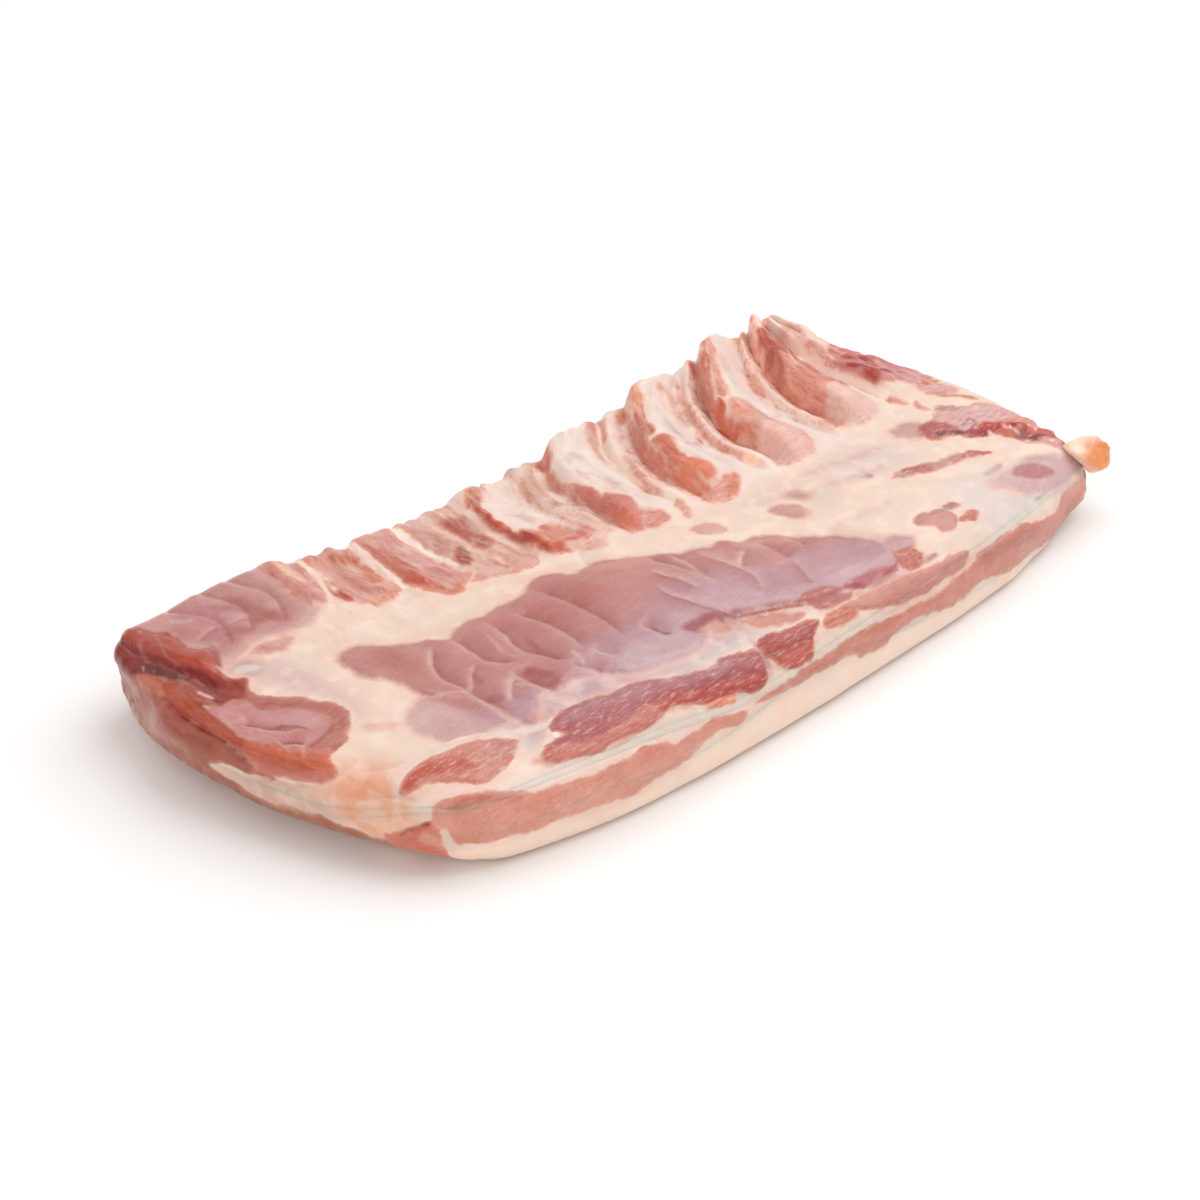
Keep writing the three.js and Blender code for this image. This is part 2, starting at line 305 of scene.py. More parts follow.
@dataclass
class SlabForm:
    """The whole slab's shape, in millimetres from its own middle, before it is cut into layers."""

    near_side: Curve = Curve((0, -88), (0.06, -98), (0.2, -111), (0.36, -117), (0.55, -119), (0.8, -117),
                             (1, -101))
    far_side: Curve = Curve((0, 115), (0.07, 119), (0.18, 118), (0.3, 111), (0.45, 107), (0.75, 108),
                            (1, 104))
    left_end: Curve = Curve((-88, -196), (-70, -207), (-45, -220), (-5, -234), (35, -240), (80, -239),
                            (115, -229))
    right_end: Curve = Curve((-101, 235), (-75, 235), (-25, 233), (20, 230), (60, 225), (104, 212))
    finger_bend: Curve = Curve((-142, 3), (-42, 24), (6, 46), (54, 64), (104, 72), (156, 62), (233, 0))
    cut_fat: Curve = Curve((0, 22), (0.15, 24), (0.28, 18), (0.42, 26), (0.52, 24), (0.62, 18), (0.8, 13),
                           (1, 9))
    cut_lean: Curve = Curve((0, 38), (0.1, 39), (0.24, 36), (0.36, 30), (0.5, 31), (0.76, 34), (0.88, 35),
                            (1, 29))
    cut_seam: float = 4.0
    side_tops: tuple[float, ...] = (17, 26, 29)
    end_tops: tuple[float, ...] = (15, 22, 27)
    left: float = -240.0
    right: float = 233.0
    width: float = 224.0
    thickness: float = 44.0
    finger_lean: float = 0.2
    fingers: tuple[Finger, ...] = (
        Finger(-142, 13, 2.5), Finger(-129, 15, 2.5), Finger(-113, 12, 2), Finger(-98, 20, 3),
        Finger(-73, 14, 1.8), Finger(-57, 14, 2.5), Finger(-42, 22, 8), Finger(-14, 16, 4),
        Finger(6, 32, 12), Finger(38, 12, 4.5), Finger(54, 34, 13), Finger(92, 10, 4.5),
        Finger(104, 34, 14), Finger(141, 10, 5), Finger(154, 32, 15), Finger(188, 30, 9.5),
        Finger(206, 26, 9.5, 66),
    )
    hills: tuple[Hill, ...] = (
        Hill(5, (-40, -45), (120, 48)), Hill(-7, (10, 105), (90, 45)), Hill(-9, (240, -110), (70, 60)),
        Hill(-3, (-205, -100), (50, 45)), Hill(-1.5, (-190, 118), (40, 22)), Hill(-4, (226, 40), (16, 50)),
    )
    strokes: tuple[Stroke, ...] = (
        Stroke(10, -6, ((-236, 106, 26), (-238, 84, 30), (-230, 62, 38), (-214, 40, 46))),
        Stroke(10, 3, ((-226, 104, 42), (-220, 78, 47), (-208, 52, 50))),
        Stroke(11, 4, ((-238, 60, 27), (-234, 30, 35), (-225, 0, 41), (-213, -26, 43))),
    )
    end_outward: Place = (-0.76, 0.0, 0.65)

    def line_at(self, s: Array) -> Array:
        """Place of a line across the slab, before it bends, for its share along the slab."""
        return mix(self.left, self.right, s)

    def plan(self, s: Array, t: Array) -> tuple[Array, Array]:
        """Plan position of places of the slab.

        Args:
            s: shares along the slab, from 0 to 1.
            t: shares across it.

        Returns:
            Places along and across in millimetres.
        """
        y = mix(self.near_side(s), self.far_side(s), t)
        bend = self.finger_bend(self.line_at(s)) * np.maximum(0, 2 * t - 1) ** 2.2
        return mix(self.left_end(y), self.right_end(y), s) + bend, y

    def top(self, x: Array, y: Array) -> Array:
        """Height of the top before the fingers are added: the rib beds sink towards the far side."""
        bed = 9 * smooth(-5, 95, y) * smooth(-160, -90, x) * (1 - 0.5 * smooth(90, 160, x))
        return self.thickness - bed + sum(hill(x, y) for hill in self.hills)

    def finger_relief(self, line: Array, y: Array, t: Array) -> Array:
        """Height that the fingers add.

        Args:
            line: lines across the slab, before they bend.
            y: places across the slab in millimetres.
            t: the same as shares.

        Returns:
            Heights in millimetres.
        """
        relief = np.zeros(np.broadcast(line, y, t).shape)
        for finger in self.fingers:
            front = finger.start()
            rise = smooth(front - 5, front + 13, y) * mix(0.8, 1, t) * (1 - 0.3 * smooth(0.95, 1, t))
            relief = np.maximum(relief, finger.height * finger.profile(line) * rise)
        return relief

    def reach(self, s: Array, t: Array, w: Array) -> Array:
        """Shares of the length, width and thickness that the rounded edges take at a place.

        Args:
            s: shares along the slab, from 0 to 1.
            t: shares across it.
            w: shares up it.

        Returns:
            The three shares, one row each.
        """
        left = 1 - smooth(0, 0.2, s)
        near = 1 - smooth(0, 0.35, t)
        square = smooth(0.45, 0.8, t)
        height = smooth(0.2, 0.5, w)
        along = mix(np.where(s < 0.5, 38.0, 8.0), np.where(s < 0.5, mix(28, 9, square), 9.0), height)
        across = mix(8.0, np.where(t < 0.5, 30.0, 10.0), height)
        down = mix(mix(10, 21, near), mix(24, 9, square), left * (1 - near))
        rise = np.where(w < 0.5, mix(8, 23, left), down)
        return np.stack([along / (self.right - self.left), across / self.width, rise / self.thickness])

    def place(self, s: Array, t: Array, w: Array) -> Array:
        """Points of the slab.

        Args:
            s: shares along the slab, from 0 to 1.
            t: shares across it.
            w: shares up it.

        Returns:
            Points in millimetres, in the last axis.
        """
        s, t, w = np.broadcast_arrays(*(np.asarray(share, float) for share in (s, t, w)))
        shares = np.stack([s, t, w])
        reach = self.reach(s, t, w)
        inner = np.minimum(shares, 1 - shares)
        depth = np.maximum(0, 1 - inner / reach)
        size = np.sqrt((depth**2).sum(0))
        keep = depth.max(0) / np.where(size > 0, size, 1)
        rounded = np.where(depth > 0, reach * (1 - depth * keep), inner)
        along, across, rise = np.where(shares < 0.5, rounded, 1 - rounded)
        x, y = self.plan(along, across)
        relief = self.finger_relief(self.line_at(s), y, t) * smooth(0.6, 0.95, rise)
        low = 8 * smooth(130, 232, x) ** 2
        point = np.stack([x - relief * self.finger_lean, y, mix(low, self.top(x, y), rise) + relief], -1)
        push = sum(stroke.pushed(point) for stroke in self.strokes)
        return point + push[..., None] * np.array(self.end_outward)

    def outward(self, s: Array, t: Array, w: Array) -> Array:
        """Unit directions out of the slab at its surface.

        Args:
            s: shares along the slab, from 0 to 1.
            t: shares across it.
            w: shares up it.

        Returns:
            Directions, one row each.
        """
        shares = np.stack([s, t, w])
        reach = self.reach(s, t, w)
        beyond = (shares - np.clip(shares, reach, 1 - reach)) / reach
        return (beyond / np.maximum(np.sqrt((beyond**2).sum(0)), 1e-6)).T

    def layer_heights(self, s: Array, t: Array) -> list[Array]:
        """Heights at which the layers meet at the side, from the underside to the top.

        Args:
            s: shares along the slab, from 0 to 1.
            t: shares across it.

        Returns:
            Five arrays of heights in millimetres.
        """
        cut = 1 - smooth(0, 0.3, t)
        left = 1 - smooth(0, 0.18, s)
        lean = self.cut_lean(s)
        cut_tops = (self.cut_fat(s), lean, lean + self.cut_seam)
        tops = [mix(mix(side, end, left), top, cut)
                for side, end, top in zip(self.side_tops, self.end_tops, cut_tops)]
        return [np.zeros_like(s), *tops, np.full_like(s, self.thickness)]


def chart(point: Array) -> Array:
    """Chart position of points of the skin: the near face and the left-hand end are unrolled outwards.

    Args:
        point: points in millimetres, one row each.

    Returns:
        Chart points, one row each.
    """
    x, y, z = point.T
    drop = CHART_LEVEL - z
    return np.stack([x - drop * (1 - smooth(-215, -130, x)), y - drop * (1 - smooth(-95, -50, y))], -1)


# ---- what shows on the skin


class Coat(Enum):
    """What a mark on the skin is made of."""

    GROUND = "ground"  # the tint of the fat that lies under everything
    LEAN = "lean"  # lean that shows through the fat
    FAT = "fat"  # fat or membrane that lies over lean
    # this coat tints whatever is there: real stains, and also painted shade, painted shadows and painted
    # highlights
    STAIN = "stain"  # a tint over whatever is there


@dataclass(frozen=True)
class Mark:
    """A patch or a stripe on the skin, drawn on the chart in millimetres.

    A patch lists its corners and has no width; a stripe lists its middle line and has one. Grain is 1 where a
    knife or the ribs laid the fibres bare, and near 0 where a membrane covers them.
    """

    points: Points
    coat: Coat
    tint: str
    width: float = 0.0
    soft: float = 1.5
    swell: float = 0.0
    strength: float = 1.0
    grain: float = 1.0

    @property
    def breadth(self) -> float:
        """Breadth of the stripe, or of a usual patch."""
        return self.width or 12.0

    def depth_inside(self, at: Array) -> tuple[Array, Array]:
        """How deep chart points lie inside the mark, below 0 outside it.

        Args:
            at: chart points, one row each.

        Returns:
            The rows that lie near the mark, and their depths in millimetres.
        """
        closed = self.width == 0
        path = rounded_path(self.points, closed)
        near = near_path(at, path, 14 + self.soft + self.width)
        gap, share, _ = path_distance(at[near], path, closed)
        if closed:
            return near, np.where(inside(at[near], path), gap, -gap)
        ends = smooth(0, 0.12, share) * smooth(0, 0.12, 1 - share)
        return near, self.width / 2 * (0.35 + 0.65 * ends) - gap

    def halo(self, depth: Array) -> Array:
        """How much of the mark's tint shows at depths inside it, from 0 to 1.

        Args:
            depth: depths in millimetres.

        Returns:
            The share of the tint at each.
        """
        if self.coat is Coat.GROUND:
            return smooth(-self.soft, self.soft, depth)
        low, high = -max(2.5, self.soft), 0.0
        if self.coat is Coat.STAIN:
            low, high = -self.soft / 2, self.soft / 2
        return smooth(low, high, depth) * self.strength


@dataclass(frozen=True)
class Fold:
    """A fold in the skin: a lobe ends in a painted highlight and the next starts lower, in painted shade.

    The painted shade lies on the left of the line's direction where side is 1.
    """

    points: Points
    step: float = 1.0
    reach: float = 7.0
    # strengths of the painted shade (dark) and of the painted highlight (pale)
    dark: float = 0.65
    pale: float = 0.5
    side: float = 1.0


def drawn(kind: type[Mark] | type[Fold], rows: str) -> Iterator[Mark | Fold]:
    """Reads marks or folds, one to a row; a row goes on where the next line is indented.

    Args:
        kind: what the rows draw.
        rows: each has a mark's coat, tint, width and softness, then other values by name where they
            aren't the usual ones, a colon, and its points on the chart as x,y in millimetres.

    Yields:
        Each mark or fold, in the order in which they are laid.
    """
    for row in rows.strip().replace("\n ", " ").splitlines():
        head, places = row.split(":")
        words = [word for word in head.split() if "=" not in word]
        named = [word.split("=") for word in head.split() if "=" in word]
        values = {name: float(value) for name, value in named}
        mark = [Coat(words[0]), words[1], *map(float, words[2:])] if words else []
        yield kind(tuple(tuple(map(float, place.split(","))) for place in places.split()), *mark, **values)


# Laid in this order. The points are given in the rows. Most tints were then set by a program, which moved
# each mark's mean colour towards a measured one, so they weren't chosen one by one.

# Tints of the fat that lies under everything
GROUNDS = tuple(drawn(Mark, """
ground #E5D5CE 0 10: -60,24 -20,8 0,2 60,-8 120,-10 190,-4 200,40 215,125 -20,130 -70,100
ground #E4A383 0 14: -232,-30 -216,-34 -204,-42 -204,-60 -214,-74 -238,-76 -248,-56 -243,-36
ground #CDAA9A 0 4: -266,36 -252,8 -244,-14 -240,-30 -246,-46 -246,-60 -256,-40 -266,10
ground #D3B6B0 0 9: -206,52 -186,52 -178,20 -180,-10 -190,-14 -186,0 -196,22
ground #B68D8B 0 6: -206,62 -196,62 -193,48 -203,44
ground #F4D5CB 0 6: -212,-72 -190,-78 -175,-90 -145,-92 -125,-112 -80,-122 -45,-128 -40,-136 -90,-124
 -150,-110 -185,-92 -205,-82
ground #F9DDCC 0 6: -236,-112 -205,-116 -160,-131 -100,-143 -20,-139 60,-144 130,-147 190,-149 236,-140
 240,-175 -250,-175
ground #E0C3B1 0 6: -168,34 -150,32 -132,16 -112,13 -88,10 -64,15 -48,12 -36,2 -48,-8 -90,-6 -130,-4 -160,8
ground #D9C0B3 0 14: 58,-18 84,-18 104,-36 96,-48 70,-44
ground #D8C3BA 0 14: 112,-20 140,-18 160,-38 146,-50 122,-42
ground #DACBC6 0 12: 135,-82 180,-84 190,-112 160,-124 136,-116
ground #CBBFBA 0 6: -150,-74 -90,-82 -50,-88 -15,-84 20,-96 60,-106 60,-112 0,-102 -60,-96 -120,-76 -145,-86
"""))

# The folded left-hand end: lobes of lean, with stains, cracks and dark marks, and some painted light:
# (#9C2710) and in creases between the upper lobes (#7E3A40); a painted shadow along the foot (#873D23);
# and painted glints (#DA9382, #EBCAC6, #E9C9BC, #D1ACAD, #E2CBD0).
# painted shade in the groove under the ridge (#641C11, #851408), in the hollow left of the lower ridge
LEFT_END_MARKS = tuple(drawn(Mark, """
lean #A45A46 0 1.2 grain=.3: -292,125 -292,30 -278,-20 -256,-75 -245,-100 -232,-113 -225,-112 -221,-98
 -215,-92 -212,-85 -220,-79 -225,-75 -230,-71 -238,-64 -243,-51 -245,-43 -250,-28 -255,-15 -258,-8 -260,5
 -260,15 -260,25 -257,25 -253,17 -250,5 -248,0 -244,-7 -239,-15 -235,-24 -229,-31 -220,-34 -217,-31 -214,-28
 -207,-26 -200,-23 -192,-15 -187,-8 -187,-2 -190,6 -195,14 -200,20 -205,24 -209,38 -204,43 -209,49 -209,55
 -207,60 -202.5,71 -207,74 -209,80 -209,89 -210,97 -215,105 -222,128
lean #D0A7A2 0 5 swell=.8 grain=.1: -224,126 -216,106 -214,82 -212,66 -206,56 -196,57 -186,60 -174,60
 -164,57 -152,58 -143,64 -142,82 -139,100 -133,126
stain #C8989C 14 10 strength=.6: -198,112 -188,104 -180,94 -172,88
stain #B67476 8 8 strength=.6: -204,96 -196,84 -186,76 -176,74
lean #B27664 7 5 grain=.3: -262,96 -259,78 -257,60 -256,40
lean #9D4E3F 9 6 grain=.3: -246,70 -248,56 -250,44 -248,30
lean #7F190E 0 3 grain=.3: -243,122 -240,114 -226,114 -224,100 -225,90 -230,85 -237,84 -241,96
stain #2A0402 2.4 2 strength=.5: -246,98 -243,86
lean #641C11 0 3 grain=0: -232,84 -227,83 -221,76 -218,68 -220,63 -226,68
lean #9E4731 0 2 swell=.9 grain=.3: -240,80 -241,60 -241,36 -241,20 -238,10 -234,9 -231,18 -231,32 -230,44
 -226,56 -222,60 -230,66 -234,72
lean #B96B56 4.5 3 swell=.4 grain=.3: -238,82 -238,74 -237,66
lean #A54428 4.5 3 swell=.5 grain=.3: -234,66 -236,52 -236,38 -237,24 -236,12
lean #9C2710 3 3 grain=.3: -242,58 -242,42 -241,30
lean #7C1E15 0 3 grain=.3: -222,58 -219,50 -214,44 -216,38 -224,44
lean #C37769 0 3 grain=.3: -248,0 -240,6 -232,6 -226,0 -222,-8 -216,-18 -210,-22 -214,-28 -220,-34 -229,-31
 -235,-24 -239,-15 -244,-8
lean #BC5C3F 0 2.5 swell=1 grain=.3: -238,8 -233,8 -228,2 -224,-4 -226,-10 -222,-18 -226,-22 -232,-14
 -236,-4
lean #C6664B 0 3 swell=.6 grain=.3: -222,-20 -216,-24 -216,-31 -222,-32
lean #C0847F 0 1.5 grain=.3: -230,42 -225,36 -219,38 -214,30 -210,20 -203,14 -198,5 -195,0 -195,-5 -199,-9
 -208,-12 -216,-14 -220,-8 -224,-2 -228,8 -232,14 -231,26
stain #C59596 0 5 strength=.6: -216,26 -209,14 -201,4 -199,-4 -208,-6 -214,4 -220,16
lean #B56F65 7.5 2 swell=.9 grain=.3: -212,34 -208,23 -202,18 -197,12 -192,4 -190,-4 -194,-13 -203,-18
 -213,-18
stain #A4362D 2 2 strength=.6: -211,24 -205,18 -199,12
lean #9A351F 0 1.4 swell=1.2 grain=.3: -226,124 -224,104 -222,90 -219,78 -216,70 -215,60 -217,52 -215,42
 -209,40 -204,43 -209,49 -209,55 -207,60 -202.5,71 -207,74 -209,80 -209,89 -210,97 -215,106 -221,124
lean #A54736 4 3 swell=.3 grain=.3: -221,116 -217,104 -213,94
lean #AD5340 4 3 swell=.5 grain=.3: -213,96 -211,84 -210,74 -206,68 -209,58
lean #A93216 3 2.5 grain=.3: -217,76 -214,66 -214,56
lean #851408 2.6 1.5 grain=.3: -226,118 -225.5,105 -223.7,90 -222.5,82 -220,74 -217.5,67 -217,60 -217,52
stain #DA9382 1.3 1 strength=.5: -233,82 -230,84
stain #EBCAC6 1.8 1 strength=.85: -225.5,56 -224,46
stain #E9C9BC 1.2 1 strength=.6: -230,44 -229,40
stain #8D3D41 1.3 1 strength=.7: -226,21 -220,10 -212,4 -208,-6
stain #861616 1.3 1 strength=.7: -222,-4 -217,-8 -215.5,-13
stain #D1ACAD 1.4 1.2 strength=.6: -221,-17 -216,-12 -211,-10
lean #AB6749 4 2 grain=.3: -263,8 -260,-8 -255,-24 -250,-40 -245,-52
stain #873D23 9 6 strength=.8: -275,110 -274,60 -272,30 -269,5 -263,-20 -254,-45 -247,-68
stain #9F6973 8 7 strength=.5: -196,104 -190,92 -184,84
stain #AA5359 0 8 strength=.5: -202,66 -188,68 -176,72 -178,80 -192,76
stain #B05949 7 4 strength=.7: -170,78 -163,74 -158,68
stain #965E60 3 4 strength=.4: -184,104 -172,92 -162,84
lean #D6A69C 0 5 strength=.7 grain=.3: -192,58 -180,61 -168,58 -170,51 -184,50
lean #C97158 0 1.5 swell=.5 grain=.3: -238,-64 -231,-70 -224,-76 -214,-86 -217,-93 -222,-99 -225,-112
 -232,-112 -240,-98
stain #831B12 2.4 2 strength=.8: -230,-73 -222,-79 -215,-86
stain #E1A68F 6 5 strength=.7: -226,-84 -222,-92 -224,-102
stain #AC5E5B 0 9 strength=.42: -214,114 -208,86 -206,68 -196,60 -184,64 -170,62 -156,64 -147,74 -146,100
 -150,118
stain #9E4A44 8 6 strength=.5: -168,100 -166,90 -165,82 -161,75 -155,76
stain #C4745C 6 4 strength=.7: -181,113 -177,114 -174,111
stain #E2CBD0 3 4 strength=.3: -202,104 -197,99 -192,97
stain #E2CBD0 3 4 strength=.3: -180,93 -174,88
stain #7E3A40 2 2.5 strength=.5: -186,82 -188,74 -192,68
stain #7E3A40 2 2.5 strength=.5: -199,76 -201,68 -205,60
stain #DCD6CC 5 3 strength=.7: -204,50 -199,49 -194,46
stain #B4625A 4 5 strength=.5: -186,58 -180,54 -176,48
"""))

# The fingers between the rib beds: bare lean on their walls, stains along their crests
FINGER_MARKS = tuple(drawn(Mark, """
lean #E0ADA3 4 2: -43,22 -42,44 -39,60 -34,78 -27,98 -22,112
lean #E6C0B2 6 2.5: 3,2 4,22 6,38 10,56 17,74 26,92 37,108
lean #F2C9BA 6 2.5: 50,-8 50,12 52,28 57,44 64,58 74,74 85,90 97,104
lean #F8CDBA 6 2.5: 100,-6 100,12 103,28 108,44 115,58 126,74 138,90 149,104
lean #F9BAA7 6 2.5: 151,-6 151,14 154,32 159,48 167,64 177,80 189,96
lean #E2A99D 5 2.5: 186,4 187,22 189,38 193,52 199,68 206,86
lean #D39A92 0 2.5 swell=.5: -141,108 -142,70 -139,62 -133,66 -128,76 -124,88 -121,108
lean #E6BBA2 5 5: -138,108 -135,100 -132,92
lean #CD9188 4 1.5: -142,70 -142,82 -140.5,92 -139,104 -137,114
lean #D49E93 0 2 swell=.6: -129,58 -128,68 -123,82 -117,108 -92,110 -94,95 -97,75 -99,60 -103,52 -115,48
 -124,51
lean #D39A8A 7 6: -117,108 -112,98 -110,88
lean #C98379 5 5: -120,60 -115,74 -112,86
lean #C77659 5.5 4: -99,98 -97,88 -99,78 -106,66
lean #BC745D 3 3: -105,100 -103,92 -98,97
lean #B56546 3 2: -124,86 -128,74 -129,66
lean #A53E28 3 2: -127,72 -129,64 -129,58
lean #DA9A85 5 4: -120,52 -113,50 -107,51
lean #CF988B 0 2 swell=.8: -98,50 -96,66 -93,86 -88,112 -62,112 -67,88 -70,66 -72,45 -72,36 -79,31 -86,27
 -92,31 -96,40
lean #BA695A 7 5: -92,100 -88,84 -90,66 -94,54
lean #D29992 7 6: -70,104 -73,86 -75,66 -76,50
lean #CC8A78 4 3: -96,50 -93,43 -90,38
lean #CF7D67 4 3: -93,34 -87,29 -80,33
lean #DC8E7C 6 4: -76,31 -66,27 -56,21 -46,22
lean #BC5742 3 2: -97,58 -94,50 -91,43 -90,38
stain #8F5141 1.2 1 strength=.6: -89,100 -92,82 -94,66 -97,54
lean #D4A99E 0 2 swell=.7: -71,28 -70,48 -68,66 -66,80 -62,96 -58,112 -46,108 -48,90 -51,75 -54,58 -56,42
 -56,26 -64,23
lean #C59184 8 5: -60,96 -58,84 -60,72 -64,62
lean #A25142 4.5 3: -69.5,42 -65,50 -59,56 -55,62
lean #D8A79B 0 2 swell=.8: -56,20 -55,42 -53,58 -50,74 -47,88 -40,110 -25,110 -30,88 -35,72 -39,55 -42,38
 -42,20 -50,15
lean #A95D51 7 5: -50,50 -47,64 -43,78 -37,88
lean #D6AD9F 6 5: -40,104 -34,96 -30,92
lean #D69581 0 2 swell=1: -41,18 -40,38 -34,42 -26,41 -18,46 -13,41 -12,24 -13,15 -22,11 -34,13
lean #C05539 5 4: -39,21 -34,16 -26,16 -20,20
lean #CA6E4A 6 5: -36,36 -34,28 -30,24
lean #D79F94 10 4: -26,84 -18,94 -8,104 2,112
lean #C57952 4 3: -29,84 -24,90 -18,96
lean #A63221 5 1.6: -39.5,20 -39.5,35 -38.5,48 -35,60 -32,70 -28,80 -20,88
stain #D35C34 1.6 1.5 strength=.8: -36.5,48 -35,56 -32.5,64
lean #DAAB9F 0 5: -26,16 -14,14 -10,8 -14,4 -24,8
lean #DAB7AA 0 4 swell=.6: -12,14 -11,38 -8,54 -3,68 3,82 10,98 16,112 36,110 29,96 20,80 13,66 9,52 7,40
 4,25 0,14 -5,8
lean #CBA08E 9 7: -4,66 4,74 14,82 22,92
lean #E0C2B6 5 4: 12,92 20,100 30,108
lean #BD8A78 5 4: -1,50 4,53 8,56
lean #C97A6F 3 3: -13.5,22 -12.5,14
lean #CA6F5F 3.6 1.2: 5,4 5,12 6.5,22 7.5,29 9,39 11,48 13,56 16,67 20,76 25,86 30,94 35,100 42,108
lean #C7482C 4.5 2: 26,84 32,92 38,100 44,108
lean #B53E28 0 2.5 swell=.8: 4,12 10,13 14,10 13,4 8,0 5,3
lean #CE8E81 0 4 swell=.4: 11,9 20,9 28,5 26,-2 16,-4 10,0
lean #D29782 0 3 swell=.5: 60,90 68,100 78,112 86,108 76,94 68,84
lean #D0AA9A 4 2: 49,64 51,72 55,79 60,86 66,96
lean #CF9F95 0 3 swell=.5: 38,18 39,28 42,36 46,46 51,56 57,60 54,48 49,38 44,28 40,18
lean #D4A18D 5 2.5 swell=.5: 39,7 36,0 32,-8
lean #E9B093 9 4 swell=.5: 92,86 98,96 106,108
lean #DA9472 5 4: 86,80 92,86 97,90
lean #D38B78 0 3 swell=.7: 61,50 70,51 74,46 70,38 62,36
lean #C45E48 0 2.5 swell=.5: 57,30 62,36 68,40 69,36 62,29
lean #B1523F 0 2.5 swell=.6: 69,60 75,72 82,81 88,81 82,69 75,58 70,54
lean #E6B5A3 8 6 strength=.8: 58,22 60,10 60,2
lean #C56F5B 3.2 1.2: 53.5,-8 52,0 52,8 52.5,17 54,27 56,34 59,42 62,49 66,57 71,65 76,73 81,80 86,86 92,92
 100,102
lean #D16145 4 2.5: 54.5,22 54,8 54.5,-7
lean #D79787 0 3 swell=.6: 53,0 62,0 74,2 75,-3 66,-9 54,-10
lean #CE7A60 4 3: 64,-6 73,-3
lean #DCA597 4 2 swell=.5: 91.5,2 91,8 91.5,16 93,25 95,32 98,40 100,47 105,56 110,65 114,72 118,79 123,86
 134,98
lean #D9BAB0 4.5 4: 100,58 106,68 112,78 122,94
lean #D9A990 4 3: 112,90 120,96
lean #B0736B 3.5 3: 91,40 96,47
lean #F8CEB5 0 3 swell=.4 grain=.2: 92,10 98,10 101,4 95,1 91,3
lean #D2A095 0 6 swell=.6: 105,2 105,20 109,36 116,46 124,48 128,40 122,24 120,4
lean #E19B86 5 5: 111,26 113,38 120,46
lean #D69985 0 3 swell=.6: 118,52 124,64 132,76 142,88 152,98 160,100 150,86 140,74 132,62 124,52
lean #D98A6A 4 3: 111,42 114,48 118,54
lean #E1A796 4 1.5: 101.5,9 102,14 104,23 106.5,33
lean #D05C42 4 1.5: 105,29 106.5,33 109,42 112,49 115.5,56 118.5,62 122.5,69 127,76 131.5,82 136.5,88 142,94
 149,101
stain #BD6858 1.2 1.2 strength=.6: 103,12 104.5,20 106,28 108,36
stain #D57055 1.4 1.2 strength=.7: 124,62 130,69 136,77 145,90
lean #D5998F 0 3 swell=.5: 97,-4 104,0 113,-2 122,-1 120,-8 110,-11 100,-9
lean #E4B6AC 0 3 swell=.5 grain=.4: 100,8 100,0 103,-7 112,-11 122,-9 126,0 124,9 114,13 104,10
stain #D36E58 1.4 1.5 strength=.7: 104,12 105.5,22 108,32 111,42
lean #ECDDD1 5 3: 141.5,-2 141,22 143,38 147,50 155,64 165,76 178,92 190,108
lean #E5AC9B 4.5 3: 148,52 154,62 162,73
lean #D18F7E 0 2.5 swell=.5: 142,4 150,4 150,-2 143,-3
lean #C98172 0 4 swell=.8: 154,14 156,34 158,46 170,52 182,54 187,44 186,28 178,16 166,12
lean #C67B6D 8 5: 170,36 178,33 185,30
lean #B55440 0 2 swell=.9: 157,40 160,48 164,57 168,64 174,75 181,82 190,90 196,95 195,86 192,76 189,65
 184,58 179,53 170,51 162,42
stain #963624 2 2 strength=.7: 157,34 162,42 172,50 180,55
lean #EBAF94 8 4: 182,98 188,104 196,110
lean #D48E7D 0 2.5 swell=.6: 151,6 151,24 153,36 157,47 161,54 168,54 165,36 162,22 160,9 156,5
stain #D17A62 1.6 1.5 strength=.7: 154,30 157,42 163,53 170,62
stain #B86353 1.2 1.2 strength=.6: 159,20 161,32 165,42
lean #E3BCB2 0 3.5 swell=.6 grain=.5: 152,8 152,-3 158,-9 168,-9 176,-4 174,6 166,12 158,12
lean #FAD7C3 6 3 swell=.5: 201,96 205,102 210,108
lean #DC9680 2.8 1.5: 153.5,12 154,24 156,36 160,47
lean #D7A89D 9 5: 190,48 194,60 200,72 206,86
lean #C47B78 0 2.5 swell=.6: 187,20 190,36 196,48 206,54 216,50 228,44 232,20 232,2 214,-2 200,-2 190,2
 186,8
lean #C98B8A 0 5: 196,4 206,8 222,10 230,6 226,0 208,-2
lean #A83C2D 5.5 3 swell=.4: 188,8 193,15 200,21
lean #9C271D 6 3 swell=.5: 205,26 211,31 216,39
lean #992E26 3 1.5 grain=.6: 190,27 194,20 198,14 200,7
lean #A33A2D 2.6 1.5 grain=.6: 196,35 200,27 204,19
stain #F1B1A6 1.2 1 strength=.7: 193,26 197,20 201,13
lean #C4634F 0 3 swell=.6: 210,62 216,64 223,60 228,48 220,46 212,52
lean #DAB9AD 0 5: 208,92 216,90 222,74 212,72
lean #C47566 0 3 grain=.6: 4,27 7,31 13,27 17,17 13,10 6,11
lean #D0745A 0 2 grain=.5: 5,12 7,14 10,8 9,1 5,2
lean #C97A64 0 3: 54,24 56,34 60,43 67,51 70,45 67,34 63,24 58,17
lean #D97F5E 0 4 grain=.5: 55,16 58,22 62,16 62,6 57,2 54,6
lean #BC6E5C 5 3: 67,57 74,68 80,76 87,85
lean #D99478 7 4: 83,83 90,92 97,102
lean #C4705A 6 3: 117,57 125,69 133,79 144,92
stain #9A4A3C 1.3 1.2 strength=.7: 111,50 117,61 125,73 134,84
stain #A9503F 2.5 2 strength=.6: 158,44 164,54 172,66 182,80
stain #F0DDD2 1.2 1.2 strength=.6: 164,40 170,50 179,61
stain #F0DDD2 1.4 1.2 strength=.6: 122,58 130,69 140,80
"""))

